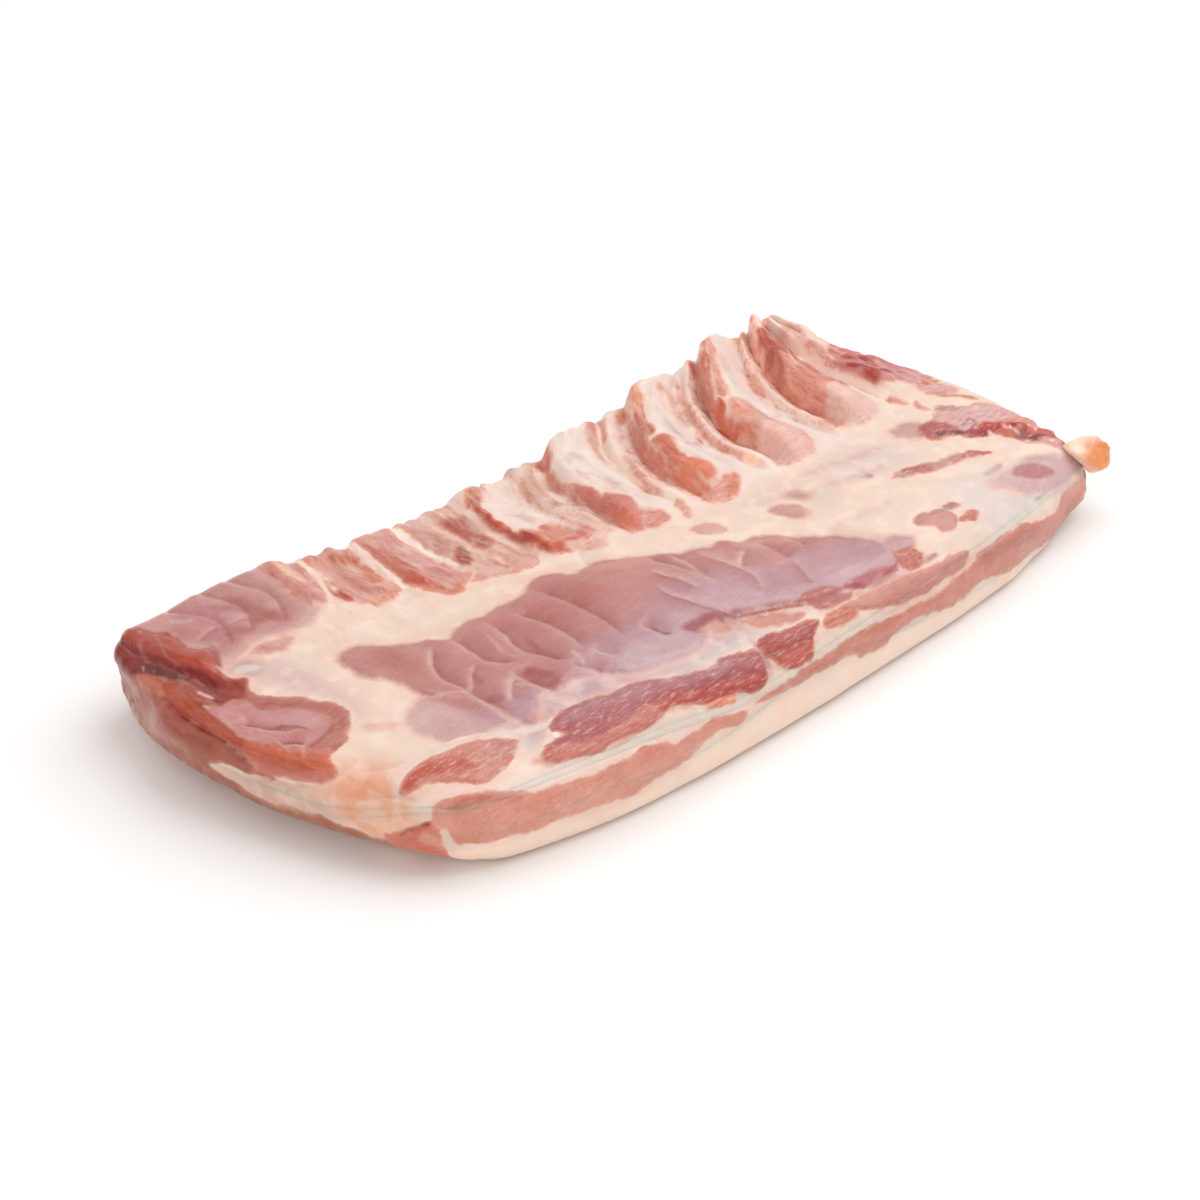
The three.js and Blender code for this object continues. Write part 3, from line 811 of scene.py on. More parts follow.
# Pale crests of the fingers, and fat and membrane over their lean
MEMBRANES = tuple(drawn(Mark, """
lean #F9D1C5 2.6 2: 146,4 146.5,18 148.5,32 153,48 159,62 167,76 177,90
lean #F2DAD4 4 3: 183,2 183,20 185,36 188,54 192,70
lean #F5E2D9 3 3: 97,4 97,18 99,32 103,42 109,54 116,66 126,80 140,96
lean #F3DFD6 3 3: 47,2 47,20 49,32 54,46 61,60 70,74 84,90
lean #EBD0C3 3 3: 0,10 2,30 5,46 10,62 17,78 26,94
fat #E9D7CD 2.8 1.5: -118,116 -121.5,100 -124.5,87 -128.5,77 -133,68 -139,60
fat #FAECE4 3.2 1.2: -87,112 -90,100 -92.5,87 -95,75 -96.5,65 -99,54
fat #F0EBE4 3 1.5: -62,112 -66,95 -67.5,80 -69,70 -70,59 -71.5,44
fat #E4C2B7 1.8 1.5: -46,104 -49,82 -51,71 -53,59 -55,45 -56,29
fat #F6DED1 2.4 1.5: -23,110 -27,98 -31,85 -35,72 -38,63 -40.5,51 -42,35 -41.5,20
fat #E8D2C8 0 5: 8,112 -4,98 -14,84 -22,74 -29,64 -32,52 -31,43 -25,41 -18,47 -13,50 -11,62 -8,75 -2,86 5,96
 14,110
fat #F3E5E0 1.8 1.5: 10,98 3,84 -3,72 -8,62 -10,51 -11.5,39 -12,26
fat #EDDACA 1.8 1.5: 75,99 66,87 60,75 54,65 50,56 46,48 43,40 41,32
fat #FAECE4 1.4 1.5: 181,92 172,80 166,71 161,62 156,50 151,37 149,25 148.5,10
fat #FAECE4 2.6 1.5: 197,76 195,71 190,56 187,41 185.6,24 185.6,6 187.5,-4
stain #BF9A9A 0 8 strength=.7: -24,64 -16,66 -13,58 -18,50 -25,54
stain #B9918E 6 7 strength=.7: 19,26 24,36 29,44
stain #CBAF9B 7 7 strength=.6: 31,68 38,80
stain #B3ABA3 4.5 4 strength=.7: 80,44 86,56 92,66
stain #C79C97 4.5 4 strength=.7: 75,35 82,37 88,40
stain #CEE2E4 5 5 strength=.5: 132,54 139,62 147,72
stain #D8AEA5 4 5 strength=.5: 112,12 124,20 138,24
stain #B0604E 1 1 strength=.5: -41,20 -41,35 -39.5,50 -34,66 -27,84 -20,96
stain #B0604E 1 1 strength=.5: 3,14 4,24 7,38 11,52 18,68 26,84 36,100
stain #B0604E 1 1 strength=.5: 50.5,10 50.5,20 52,30 56,42 63,55 72,70 84,86 97,102
stain #B0604E 1 1 strength=.5: 100,12 101,24 104,36 110,48 119,62 131,79 146,97
stain #B0604E 1 1 strength=.5: 150,10 151,24 153,36 158,49 166,62 176,76 188,92
"""))

# The broad muscle that the furrows cross
# C4A2A7) that are a membrane with a painted sheen in it.
# Painted light on the muscle: shade in creases and along folds (#4C0409, #895962, #8B3E3C, #954846), small
# painted highlights on ridges (#E0B7B3, #E2BDB8), and pale lavender patches on its lower part (#C8B0B5,
MUSCLE_MARKS = tuple(drawn(Mark, """
lean #CAA4A0 0 7 grain=.15: -142,-20 -150,-24 -160,-22 -172,-28 -176,-42 -172,-56 -160,-60 -148,-64 -140,-62
lean #BC827D 0 5 swell=1.6 grain=.15: -162,28 -150,28 -142,20 -133,12 -124,8 -118,2 -105,6 -95,3 -85,4 -72,3
 -65,8 -55,9 -49,7 -46,2 -42,-3 -30,-2 -22,-6 -17,-10 -10,-16 -4,-20 5,-28 12,-30 18,-34 24,-33 28,-36
 33,-41 40,-42 47,-47 55,-54 65,-62 72,-66 79,-78 83,-88 82,-95 80,-104 72,-108 60,-110 50,-107 42,-102
 20,-97 12,-92 3,-86 -8,-82 -20,-78 -36,-82 -45,-87 -60,-84 -75,-80 -85,-74 -92,-68 -102,-63 -112,-64
 -120,-62 -131,-72 -137,-72 -142,-60 -150,-36 -157,-22 -158,-8 -166,6 -166,20
stain #B88F98 0 18 strength=.85: -150,-50 -128,-52 -104,-60 -88,-50 -60,-50 -40,-50 -22,-42 0,-52 14,-58
 34,-66 56,-70 84,-84 84,-112 40,-106 0,-92 -40,-90 -90,-86 -140,-80
stain #C8B0B5 0 8 strength=.6: -80,-66 -56,-66 -30,-64 -22,-70 -40,-74 -44,-88 -76,-80
stain #C4A2A7 0 10 strength=.55: -16,-62 4,-66 8,-80 30,-84 60,-90 72,-100 40,-98 10,-88 -8,-78
stain #B26D61 0 9 strength=.7: -156,16 -146,18 -140,6 -141,-8 -152,-10
stain #B56B64 0 12 strength=.6: -98,-4 -84,-6 -62,-6 -48,-8 -44,-26 -60,-30 -80,-26 -96,-28
stain #A85859 0 5 strength=.7: -117,-44 -112,-44 -106,-52 -108,-62 -114,-60
stain #CC9988 0 6 strength=.6: -40,-6 -20,-12 -8,-20 -14,-24 -30,-16
stain #CFA29E 0 5 strength=.6: 26,-40 34,-44 37,-54 28,-48
stain #D9A59A 0 4 strength=.6: 38,-44 46,-50 56,-58 48,-56 40,-52
stain #4C0409 2.2 2 strength=.6: -51,-60 -50,-66 -47,-70
stain #895962 5 3 strength=.7: 68,-66 73,-73 79,-82 81,-90
lean #BE979A 0 6 strength=.8 grain=.2: 82,-88 92,-86 98,-92 94,-100 82,-102
lean #A05A62 0 4 grain=.5: -38,-71 -28,-72 -18,-76 -22,-80 -34,-77
lean #CA9288 0 4 grain=.4: -34,-78 -24,-80 -20,-84 -28,-85
lean #C48172 0 3 grain=.4: -15,-82 -4,-88 8,-95 14,-101 6,-102 -6,-98 -14,-91
lean #892627 3.2 2 grain=.6: -17,-77 -8,-83 2,-88 10,-92 19,-97
lean #B36861 0 3 grain=.6: 18,-93 28,-93 38,-101 44,-105 36,-108 20,-104
lean #AD6068 0 3 grain=.6: 42,-101 52,-100 66,-104 74,-108 64,-111 50,-108
stain #8B3E3C 5 3 strength=.5: -139,-46 -136,-50 -133,-49
stain #954846 2.4 2 strength=.5: -131,-25 -132,-31 -133,-37
stain #8B3E3C 3 2.5 strength=.45: -96,-26 -97,-34 -98,-42 -97,-48
stain #8B3E3C 6 4 strength=.45: -114,-44 -111,-48 -109,-54
stain #E0B7B3 2 2 strength=.6: -90,-50 -90,-55 -92,-60
stain #E2BDB8 1.6 1.5 strength=.7: -152,-27 -147,-31 -142,-36
stain #E2BDB8 1.4 1.5 strength=.4: -106,-10 -108,-18 -111,-27 -109,-34
stain #E2BDB8 1.4 1.5 strength=.5: -124,-48 -120,-53 -117,-58
stain #D68B72 6 6 strength=.5: -189,-20 -184,-26 -178,-30
stain #C47F70 5 3 strength=.7: -133,-68 -131,-72 -130,-75
stain #FFF6EE 2.6 2 strength=.85: -127,-75 -131,-79 -133,-86
"""))

# The cut near face: stripes of lean, and the fat over them
SLOPE_MARKS = tuple(drawn(Mark, """
lean #C9887A 0 1.4 swell=.8: -211,-62 -201,-57 -186,-57 -172,-60 -160,-64 -151,-71 -147,-77 -158,-84
 -170,-87 -179,-86 -186,-78 -196,-69
stain #B64321 8 7 strength=.75: -206,-62 -194,-62 -182,-67 -174,-75
stain #BE837A 0 7 strength=.8: -162,-66 -150,-74 -156,-81 -166,-78
lean #A65658 0 1.2 swell=1: -134,-80 -128,-76 -118,-74 -98,-80 -78,-86 -62,-94 -48,-99 -42,-96 -30,-100
 -21,-106 -24,-118 -28,-126 -38,-127 -46,-120 -50,-123 -60,-122 -70,-112 -80,-107 -95,-110 -115,-107
 -122,-109 -138,-102 -147,-94 -142,-88 -131,-86
stain #B1858E 8 7 strength=.6: -130,-80 -112,-80 -92,-86 -70,-93 -52,-101 -36,-102
stain #C87E70 10 5 strength=.9: -150,-92 -138,-97 -122,-103 -100,-105 -80,-103
stain #B3473F 10 6 strength=.8: -84,-103 -70,-108 -56,-114 -42,-118 -26,-122
lean #AB534F 0 1.2 swell=1: -20,-102 -15,-98 0,-103 15,-106 18,-110 8,-118 2,-127 -8,-127 -15,-126 -20,-112
stain #C56454 8 5 strength=.8: -18,-121 -6,-123 8,-120
lean #C77C67 0 2.5 swell=.6: 17,-110 28,-109 38,-110 37,-119 26,-121 18,-118
lean #FA9F8A 4 2.5: -66,-119 -56,-121 -48,-125
lean #C68478 0 1.5 swell=.7 grain=.35: 38,-111 50,-110 65,-112 80,-115 95,-118 110,-119 117,-122 114,-127
 105,-130 75,-131 55,-126 40,-117
lean #D89482 0 1.5 swell=.5 grain=.35: -214,-85 -205,-81 -197,-81 -188,-86 -180,-91 -170,-100 -160,-108
 -150,-110 -142,-114 -115,-119 -100,-119 -92,-123 -85,-128 -70,-127 -60,-128 -50,-132 -42,-135 -50,-139
 -60,-135 -70,-137 -80,-141 -110,-142 -125,-139 -140,-134 -155,-130 -170,-128 -200,-119 -210,-112 -215,-105
 -213,-95
stain #BA4A37 6 6 strength=.5: -200,-88 -186,-92 -170,-106
stain #E19F8D 7 8 strength=.6: -205,-112 -170,-120 -130,-130 -90,-136
lean #CD8574 0 1.5 swell=.5 grain=.35: -40,-132 0,-131 20,-129 45,-130 60,-133 90,-136 100,-133 120,-131
 125,-127 155,-126 175,-131 185,-133 195,-130 200,-124 210,-122 238,-124 240,-132 230,-138 200,-146 180,-149
 150,-150 125,-147 100,-149 80,-145 60,-143 40,-147 22,-140 0,-139 -28,-136
stain #DD8E72 9 7 strength=.7: 202,-126 216,-127 232,-129
stain #A36663 8 8 strength=.5: 124,-132 150,-134 176,-138
stain #D59183 4 6 strength=.5: 30,-142 60,-138 100,-142
fat #D9C8C3 2.2 1: -215,-62 -205,-57.5 -190,-55 -172,-56 -158,-61 -148,-69 -138,-74 -130,-76
fat #C59593 1.6 1: -21,-98 -21,-110 -24,-122
fat #B47874 2.2 1: 42,-108 62,-109 80,-111 98,-113
fat #EAB8A8 2.2 1: 43,-121 60,-130 75,-133 95,-134 113,-130 126,-124
"""))

# Patches of lean, large and small, in the fat to the right of the muscle
# The two tiny near-white marks (#FFF4F0) are painted glints on the raw lumps at the right-hand end.
RIGHT_MARKS = tuple(drawn(Mark, """
lean #C7958B 0 4 swell=.4 grain=.3: 62,-32 70,-31 79,-37 77,-46 70,-50 64,-42
stain #B15856 0 6 strength=.6: 78,-26 88,-28 90,-36 82,-36
lean #D3A397 0 3 swell=.4 grain=.3: 24,-17 32,-16 37,-22 35,-29 27,-27
stain #B26F68 4 3 strength=.8: 121,-43 125,-45
lean #B78C82 7 3.5 swell=.5: 132,-53 142,-55 156,-60 170,-62 180,-63
lean #B56A65 0 2.5 swell=.4: 141,-53 146,-54 151,-60 144,-60
lean #AF6360 0 2.5 swell=.5: 174,-63 182,-60 187,-65 190,-71 180,-68
lean #C48983 0 2 swell=.6 grain=.3: 106,-90 112,-84 120,-86 128,-90 128,-100 120,-106 112,-102 112,-96
lean #B07C7C 0 2 grain=.3: 128,-88 136,-88 136,-93 129,-93
lean #BE7765 0 2: 125,-101 134,-99 142,-103 134,-108
lean #BC6D5F 0 2 swell=.5: 77,-104 84,-98 92,-102 92,-110 84,-114 78,-110
lean #C59D95 0 6 grain=.3: 162,-24 172,-21 182,-24 184,-34 174,-38 165,-34
lean #D5AAA7 0 1.8 swell=.6: 185,-29 191,-29 200,-25 207,-30 216,-33 224,-38 232,-50 240,-62 240,-98
 232,-100 224,-98 220,-90 217,-84 212,-80 209,-75 206,-65 200,-60 195,-57 190,-49 182,-45 176,-45 174,-38
 178,-30
lean #AD5F59 0 4 swell=.4: 176,-33 183,-31 190,-36 190,-45 180,-45 175,-40
lean #620C0E 2.6 2: 181,-42 187,-46 192,-48
lean #7C0A09 3 1.5 swell=.8: 190,-49 193,-54 199,-57 206,-57
stain #621C1C 1.4 1.2 strength=.6: 195,-45 200,-44 204,-43 203,-48 197,-49
lean #A5322F 0 2 swell=1.2: 207,-55 213,-55 215,-61 209,-63
lean #C74A30 0 2 swell=1: 206,-64 214,-62 222,-62 228,-66 220,-72 210,-70
lean #9E220F 0 2 swell=.8: 217,-64 222,-66 216,-69 212,-68
lean #840503 0 1.8 swell=1: 216,-77 221,-78 226,-83 220,-82
lean #B0604A 4.5 2 swell=.6: 226,-61 234,-62 240,-64
lean #C04337 6 1.5 swell=1.6: 203,-52 209,-56 216,-60 222,-65
lean #D89182 5 1.5 swell=1.4: 219,-55 226,-61 233,-68
lean #C45043 7 1.5 swell=1.4: 222,-70 228,-77 234,-84 238,-92
lean #D7A9A5 3 1.5 swell=1: 213,-50 219,-51 225,-55
lean #9F281F 2.6 1.2: 194,-50 200,-54 207,-60 213,-67 219,-73
stain #F0DED8 1.8 1.2 strength=.8: 226,-72 231,-76 229,-80
stain #E59C94 1.6 1.2 strength=.8: 211,-59 215,-64
lean #AE190C 4.5 2 swell=.6: 227,-82 234,-83 240,-84
lean #AA4344 0 2.5 swell=.4: 221,-87 230,-86 236,-91 228,-96
lean #C78568 4 2.5 swell=.5: 185,-3 189,-8 193,-12
lean #CAA393 3.5 2.5 swell=.5: 197,-13 194,-18 196,-23
lean #B08B78 4 3: 200,-24 205,-28 209,-30
lean #D5A29E 0 3 swell=.4: 206,-4 218,-2 223,-12 222,-22 212,-18 206,-12
lean #C6715C 4 2.5 swell=.5: 216,-4 221,-3 224,-7
lean #B47D67 3.6 2 swell=.6: 209,-16 214,-21 219,-25 223,-33
lean #CEABAB 0 10 grain=.3: 162,-92 176,-88 200,-88 222,-100 232,-110 228,-118 204,-120 184,-114 168,-104
stain #B67272 0 4 strength=.9: 181,-94 188,-90 197,-94 207,-104 204,-110 196,-107 186,-101
stain #B79C89 4.5 4 strength=.7: 196,-88 204,-92 212,-98
stain #A18C7E 5 4 strength=.7: 170,-84 178,-85 184,-83
stain #AA9098 3 3 strength=.7: 181,-117 186,-119
lean #BE5A40 0 1.2 swell=.9 grain=0: 205,-61 210,-63 211,-69 206,-68
lean #922E26 0 1.2 swell=.8 grain=0: 216,-62 221,-65 219,-70 215,-68
lean #C06A56 1.6 1 grain=0: 217,-66 219,-67
stain #E2B6AA 2 1.4 strength=.8: 211,-60 214,-65 213,-71
stain #E8B9B0 2.4 1.4 strength=.85: 224,-66 226,-71 223,-74
stain #F6DCD4 3 2 strength=.7: 202,-58 201,-63
lean #B04632 2.6 1 swell=.6 grain=0: 221,-76 225,-79 228,-82
lean #74100A 1.6 1 grain=0: 220,-78 223,-81
lean #CE928C 5 2 swell=.6 grain=0: 219,-84 223,-87 228,-92
stain #FFF4F0 1.2 1 strength=.8: 223,-86 225,-88.5
lean #CF8872 3.4 1.5 swell=.5 grain=0: 231,-80 234,-84
lean #8A3A32 3 1.5 swell=.4 grain=0: 210,-71 214,-75
stain #FFF4F0 1.2 .8 strength=.9: 214,-62 215,-63
stain #C9908C 5 7 strength=.45: 100,-20 124,-26 150,-30
stain #C8A0A2 5 8 strength=.45: 96,-34 118,-40 140,-42
stain #C99C9A 5 8 strength=.4: 70,-62 92,-64 112,-66
"""))

# Each fold sinks the skin, paints shade over the lobe past its line and a highlight along the edge before it
FOLDS = tuple(drawn(Fold, """
step=.9: -128,2 -134,-4 -139,-11 -142,-20 -141,-32 -141,-44 -140,-54 -137,-68
step=1.1: -119,2 -118,-6 -119,-15 -119,-26 -116,-33 -111,-39
step=1.2 dark=.6: -119,-40 -118,-48 -116,-56 -112,-64
step=1.3: -99,2 -100,-14 -102,-25 -103,-33 -99,-41 -97,-48 -94,-56
step=.8: -97,-56 -92,-62 -89,-69
step=1.3 dark=.55: -88,0 -83,-10 -81,-18 -80.5,-26 -80.5,-36 -82,-45 -86,-55
step=.6 dark=.3: -82,-54 -79,-60 -76,-66
step=1.3 pale=.25: -68,4 -63,-4 -61.5,-12 -61,-22 -61,-32 -61,-42 -62,-50 -67,-62
step=.8 dark=.6: -53,-56 -51,-62 -49,-71
step=.5 dark=.3: -125,-23 -131,-28 -137,-35 -143,-39
step=.6 dark=.3: -119,-43 -127,-49 -134,-57
step=.4 dark=.2 pale=.25 side=-1: -142,-40 -147,-34 -151,-28 -160,-22
step=.9 dark=.5: -11,-17 -9,-27 -6,-36 -4,-45 -4,-56
step=.8 side=-1: -26,-38 -26,-50 -23,-58 -20,-66 -15,-76 -9,-82
step=.8 side=-1: -19,-28 -15,-40 -12.5,-48 -13,-58
step=.5 dark=.25: -2,-24 0,-36 -2,-48 -3,-60
step=.9 dark=.4 side=-1: 8,-30 12,-44 15,-58 15,-66 8,-78
step=.5 dark=.3: 27,-49 21,-52 15,-58
step=1.1 dark=.45 pale=.2: 37,-43 39,-52 39,-60 40,-68
step=.9 dark=.5 side=-1: 40,-66 38,-74 35,-82 33,-89
step=.6 dark=.3 pale=.2: 50,-56 53,-60 52,-65
step=.8 reach=6 dark=.3: 66,-62 72,-70 78,-79 82,-90
step=.4 dark=.15: -24,16 -30,4 -34,-8
step=1.2 reach=3 dark=.3 pale=0 side=-1: -226,120 -225,105 -223.5,90 -222,80 -219,70 -217,58 -219,48
reach=2.5 dark=.5: -227,22 -222,14 -216,5 -210,-3
step=.8 reach=2 dark=.4: -225,-3 -219,-7 -215,-13
step=.7 reach=3 dark=.2 pale=0 side=-1: -213,36 -207,24 -200,15 -194,5
step=1.2 reach=2 dark=.2: -21,-98 -21,-110 -24,-122
step=1.4 reach=4 dark=.2 pale=.1 side=-1: -243,60 -243,40 -241,20 -246,-2 -238,-20 -228,-32
step=1.1 dark=.5 pale=.15: -200,122 -194,108 -186,96 -184,84 -190,72
step=1.1 dark=.5 pale=.15: -178,122 -173,106 -168,94 -172,80 -180,70
step=1.1 dark=.5 pale=.15: -160,122 -157,106 -152,92 -156,76 -164,64
step=.9 dark=.4 pale=.1 side=-1: -206,80 -196,84 -186,86 -172,84 -160,88
step=.5 dark=.15 pale=.2: -214,-40 -206,-46 -198,-50 -190,-52
step=.6 dark=.15 pale=.2: -232,-44 -222,-52 -214,-62 -208,-72
"""))

MARKS = (*GROUNDS, *LEFT_END_MARKS, *FINGER_MARKS, *MEMBRANES, *MUSCLE_MARKS, *SLOPE_MARKS,
         *RIGHT_MARKS)


@dataclass
class Skin:
    """Lays the marks and folds out on the slab's skin."""

    marks: tuple[Mark, ...] = MARKS
    folds: tuple[Fold, ...] = FOLDS
    cream: str = "#E4CCBD"  # fat where no mark lies
    rose: str = "#C48E88"  # lean where no mark lies
    rind: str = "#E2C4A8"
    cut_lean: tuple[str, str] = ("#B4665C", "#C98A80")
    cut_rib_side: str = "#A85A55"
    cut_fat: tuple[str, str] = ("#EED6C2", "#F6E4D3")
    cut_rind: str = "#DDBFA4"
    ragged: Ripple = Ripple(8.0, 11)
    ragged_fine: Ripple = Ripple(3.2, 12)
    lumps: Ripple = Ripple(17.0, 13)
    grain_lumps: Ripple = Ripple(3.6, 14)
    strands: Ripple = Ripple(6.0, 15)
    strands_fine: Ripple = Ripple(2.8, 16)
    fold_depth: float = 1.8

    def lay_out(self, at: Array) -> dict[str, Array]:
        """What shows at chart points.

        Args:
            at: chart points, one row each.

        Returns:
            The depth inside lean (edge, mm), the softness of that edge (soft, mm), how much it strays and
            how bare the fibres are (tatter, grain), the painted shade and highlight along folds (shade, lip),
            the tints of lean and fat, and how far the skin stands proud (lift, mm).
        """
        count = len(at)
        flat = np.column_stack([at, np.zeros(count)])
        edge, soft, lift = np.full(count, -DEEPEST), np.full(count, 1.5), np.zeros(count)
        tatter, grain = np.full(count, 0.5), np.full(count, 0.5)
        lean, fat = np.tile(linear(self.rose), (count, 1)), np.tile(linear(self.cream), (count, 1))
        wobble = self.ragged(flat) + 0.6 * self.ragged_fine(flat)
        for mark in self.marks:
            near, depth = mark.depth_inside(at)
            depth = depth + wobble[near] * min(0.8, 0.1 * mark.breadth)
            tint, halo = linear(mark.tint), mark.halo(depth)
            if mark.coat is not Coat.LEAN:
                fat[near] = mix(fat[near], tint, halo[:, None])
            if mark.coat in (Coat.LEAN, Coat.STAIN):
                lean[near] = mix(lean[near], tint, halo[:, None])
            if mark.coat is Coat.LEAN:
                lift[near] += mark.swell * smooth(-0.6, 4.0, depth)
                grain[near] = mix(grain[near], mark.grain, halo)
            if mark.coat in (Coat.LEAN, Coat.FAT):
                sign = 1 if mark.coat is Coat.LEAN else -1
                fresh = depth > sign * edge[near]
                soft[near] = np.where(fresh, mark.soft, soft[near])
                tatter[near] = np.where(fresh, min(1.0, mark.breadth / 12.0), tatter[near])
                edge[near] = np.where(fresh, sign * depth, edge[near])
        # painted shade and painted highlight of the folds
        shade, lip_highlight = np.zeros(count), np.zeros(count)
        for fold in self.folds:
            self.lay_fold(fold, at, wobble, shade, lip_highlight, lift)
        bare = smooth(12, 34, at[:, 1] + 0.1 * at[:, 0]) * smooth(-150, -135, at[:, 0])
        slope = smooth(-78, -92, at[:, 1]) * smooth(0.4, 0.9, grain)
        lift += (0.55 * self.lumps(flat)
                 + (0.12 + 0.25 * smooth(-205, -220, at[:, 0])) * self.grain_lumps(flat))
        lift += bare * (1.0 * self.strands(flat, (1.0, 3.0, 1.0))
                        + 0.45 * self.strands_fine(flat, (1.0, 2.2, 1.0)))
        lift += slope * 0.35 * self.strands_fine(flat, (3.0, 1.0, 1.0))
        return {"edge": np.clip(edge, -DEEPEST, DEEPEST), "soft": soft, "tatter": tatter, "grain": grain,
                "shade": shade, "lip_highlight": lip_highlight, "lean": lean, "fat": fat, "lift": lift}

    def lay_fold(self, fold: Fold, at: Array, wobble: Array, shade: Array, lip_highlight: Array, lift: Array) -> None:
        """Sinks the skin along a fold, paints shade on the lobe that starts there and a highlight on the one
        that ends.

        Args:
            fold: the fold.
            at: chart points, one row each.
            wobble: lumps that make the fold's line uneven.
            shade: how much painted shade the skin takes, changed in place.
            lip_highlight: how much painted highlight the skin takes, changed in place.
            lift: height at the points, changed in place.
        """
        path = rounded_path(fold.points, closed=False)
        near = near_path(at, path, 26)
        gap, share, side = path_distance(at[near], path, closed=False)
        taper = smooth(0, 0.2, share) * smooth(0, 0.2, 1 - share)
        across = gap * side * fold.side + 0.35 * wobble[near]
        below = smooth(-0.8, 0.8, across)
        past, short = np.maximum(across, 0), np.maximum(-across, 0)
        sunk = np.exp(-short / (0.25 * fold.reach)) * (1 - below) + np.exp(-past / fold.reach) * below
        lift[near] -= self.fold_depth * fold.step * taper * sunk
        dark = 0.45 * np.exp(-((past / 2.4) ** 2)) + 0.55 * smooth(2.4 * fold.reach, 0, past)
        shade[near] = np.maximum(shade[near], fold.dark * taper * below * dark)
        lip_highlight[near] = np.maximum(lip_highlight[near], fold.pale * taper * (1 - below) * np.exp(-short / 1.6))

    def cut_side(self, form: SlabForm, s: Array, t: Array, w: Array) -> dict[str, Array]:
        """What shows where a knife cut straight down through the layers: the far side and the right end.

        Args:
            form: the slab's form.
            s: shares along the slab.
            t: shares across the slab.
            w: shares up the slab.

        Returns:
            The same values as lay_out, without lift.
        """
        height = w * form.thickness
        _, back, sheet, seam, _ = form.layer_heights(s, t)
        run = np.column_stack([np.where(t > 0.5, form.line_at(s), 300 + form.width * t), height,
                               np.zeros_like(s)])
        sway = 1.6 * Ripple(30.0, 21)(run) + 0.8 * Ripple(9.0, 22)(run)
        sheet_depth = np.minimum(height - back, sheet - height) + 0.5 * sway
        rib_depth = height - seam - 1.5 + sway
        bed = form.finger_relief(form.line_at(s), form.far_side(s), np.ones_like(s)) < 2.0
        rib_depth = np.where(bed & (t > 0.5), np.minimum(rib_depth, form.thickness - 2.0 - height), rib_depth)
        edge = np.maximum(sheet_depth, rib_depth)
        streak = Ripple(4.5, 23)(run, (5.0, 1.0, 1.0))[:, None]
        lean, fat = (mix(*map(linear, tints), 0.5 + 0.5 * streak) for tints in (self.cut_lean, self.cut_fat))
        lean = mix(lean, linear(self.cut_rib_side), smooth(-1, 1, rib_depth - sheet_depth)[:, None] * 0.6)
        fat = mix(fat, linear(self.cut_rind), smooth(3.2, 1.2, height)[:, None])
        level = {"soft": 1.4, "tatter": 0.6, "grain": 0.9, "shade": 0.0, "lip_highlight": 0.0}
        return {"edge": np.clip(edge, -DEEPEST, DEEPEST), "lean": lean, "fat": fat,
                **{name: np.full(len(s), value) for name, value in level.items()}}


@dataclass
class Net:
    """The net of lines that every layer's mesh follows, as shares along and across the slab."""

    columns: int = 410
    rows: int = 188
    along: Array = field(init=False)
    across: Array = field(init=False)

    def __post_init__(self) -> None:
        """Spaces the lines, closer where the form rolls over at the left-hand end and at the sides."""
        self.along = self.spaced(self.columns, lambda s: 1 + 1.5 * np.exp(-((s / 0.06) ** 2)))
        self.across = self.spaced(
            self.rows, lambda t: 1 + 0.8 * np.exp(-((t / 0.09) ** 2)) + 0.6 * np.exp(-(((1 - t) / 0.04) ** 2))
        )

    @staticmethod
    def spaced(count: int, density: Callable[[Array], Array]) -> Array:
        """Shares from 0 to 1 whose spacing follows a density.

        Args:
            count: number of steps.
            density: gives how close the lines are at shares.

        Returns:
            The shares.
        """
        fine = np.linspace(0, 1, 4001)
        total = np.concatenate([[0], np.cumsum((density(fine[1:]) + density(fine[:-1])) / 2)])
        return np.interp(np.linspace(0, 1, count + 1), total / total[-1], fine)

    @property
    def rim(self) -> int:
        """Number of steps round the rim."""
        return 2 * (self.columns + self.rows)

    def rim_shares(self, step: Array) -> tuple[Array, Array]:
        """Shares along and across at steps round the rim, from the near left corner counter-clockwise.

        Args:
            step: whole numbers of steps.

        Returns:
            Two arrays of shares from 0 to 1.
        """
        c, r = self.columns, self.rows
        column = np.clip(np.where(step < c + r, step, 2 * c + r - step), 0, c)
        row = np.clip(np.where(step < 2 * c + r, step - c, 2 * (c + r) - step), 0, r)
        return self.along[column], self.across[row]


# ---- modelling steps


def clear_selection() -> None:
    """Leaves object mode with nothing selected."""
    if bpy.context.mode != "OBJECT":
        bpy.ops.object.mode_set(mode="OBJECT")
    bpy.ops.object.select_all(action="DESELECT")


def vertex_places(piece: Object) -> Array:
    """Places of a piece's vertices, one row each.

    Args:
        piece: the piece, in object mode.

    Returns:
        The places in metres.
    """
    flat = np.empty(len(piece.data.vertices) * 3)
    piece.data.vertices.foreach_get("co", flat)
    return flat.reshape(-1, 3)


def mould(piece: Object, places: Array) -> None:
    """Moves a piece's vertices to places in metres."""
    piece.data.vertices.foreach_set("co", np.ascontiguousarray(places, float).ravel())
    piece.data.update()


def pick_faces(piece: Object, low: float, high: float) -> None:
    """Selects only the faces whose middles lie between two heights, and goes to edit mode.

    Args:
        piece: the piece, in object mode.
        low: the lower height.
        high: the upper height.
    """
    mesh = piece.data
    middle = np.empty(len(mesh.polygons) * 3)
    mesh.polygons.foreach_get("center", middle)
    for part in (mesh.vertices, mesh.edges):
        part.foreach_set("select", np.zeros(len(part), bool))
    mesh.polygons.foreach_set("select", (middle[2::3] > low) & (middle[2::3] < high))
    bpy.ops.object.mode_set(mode="EDIT")
    bpy.ops.mesh.select_mode(type="FACE")


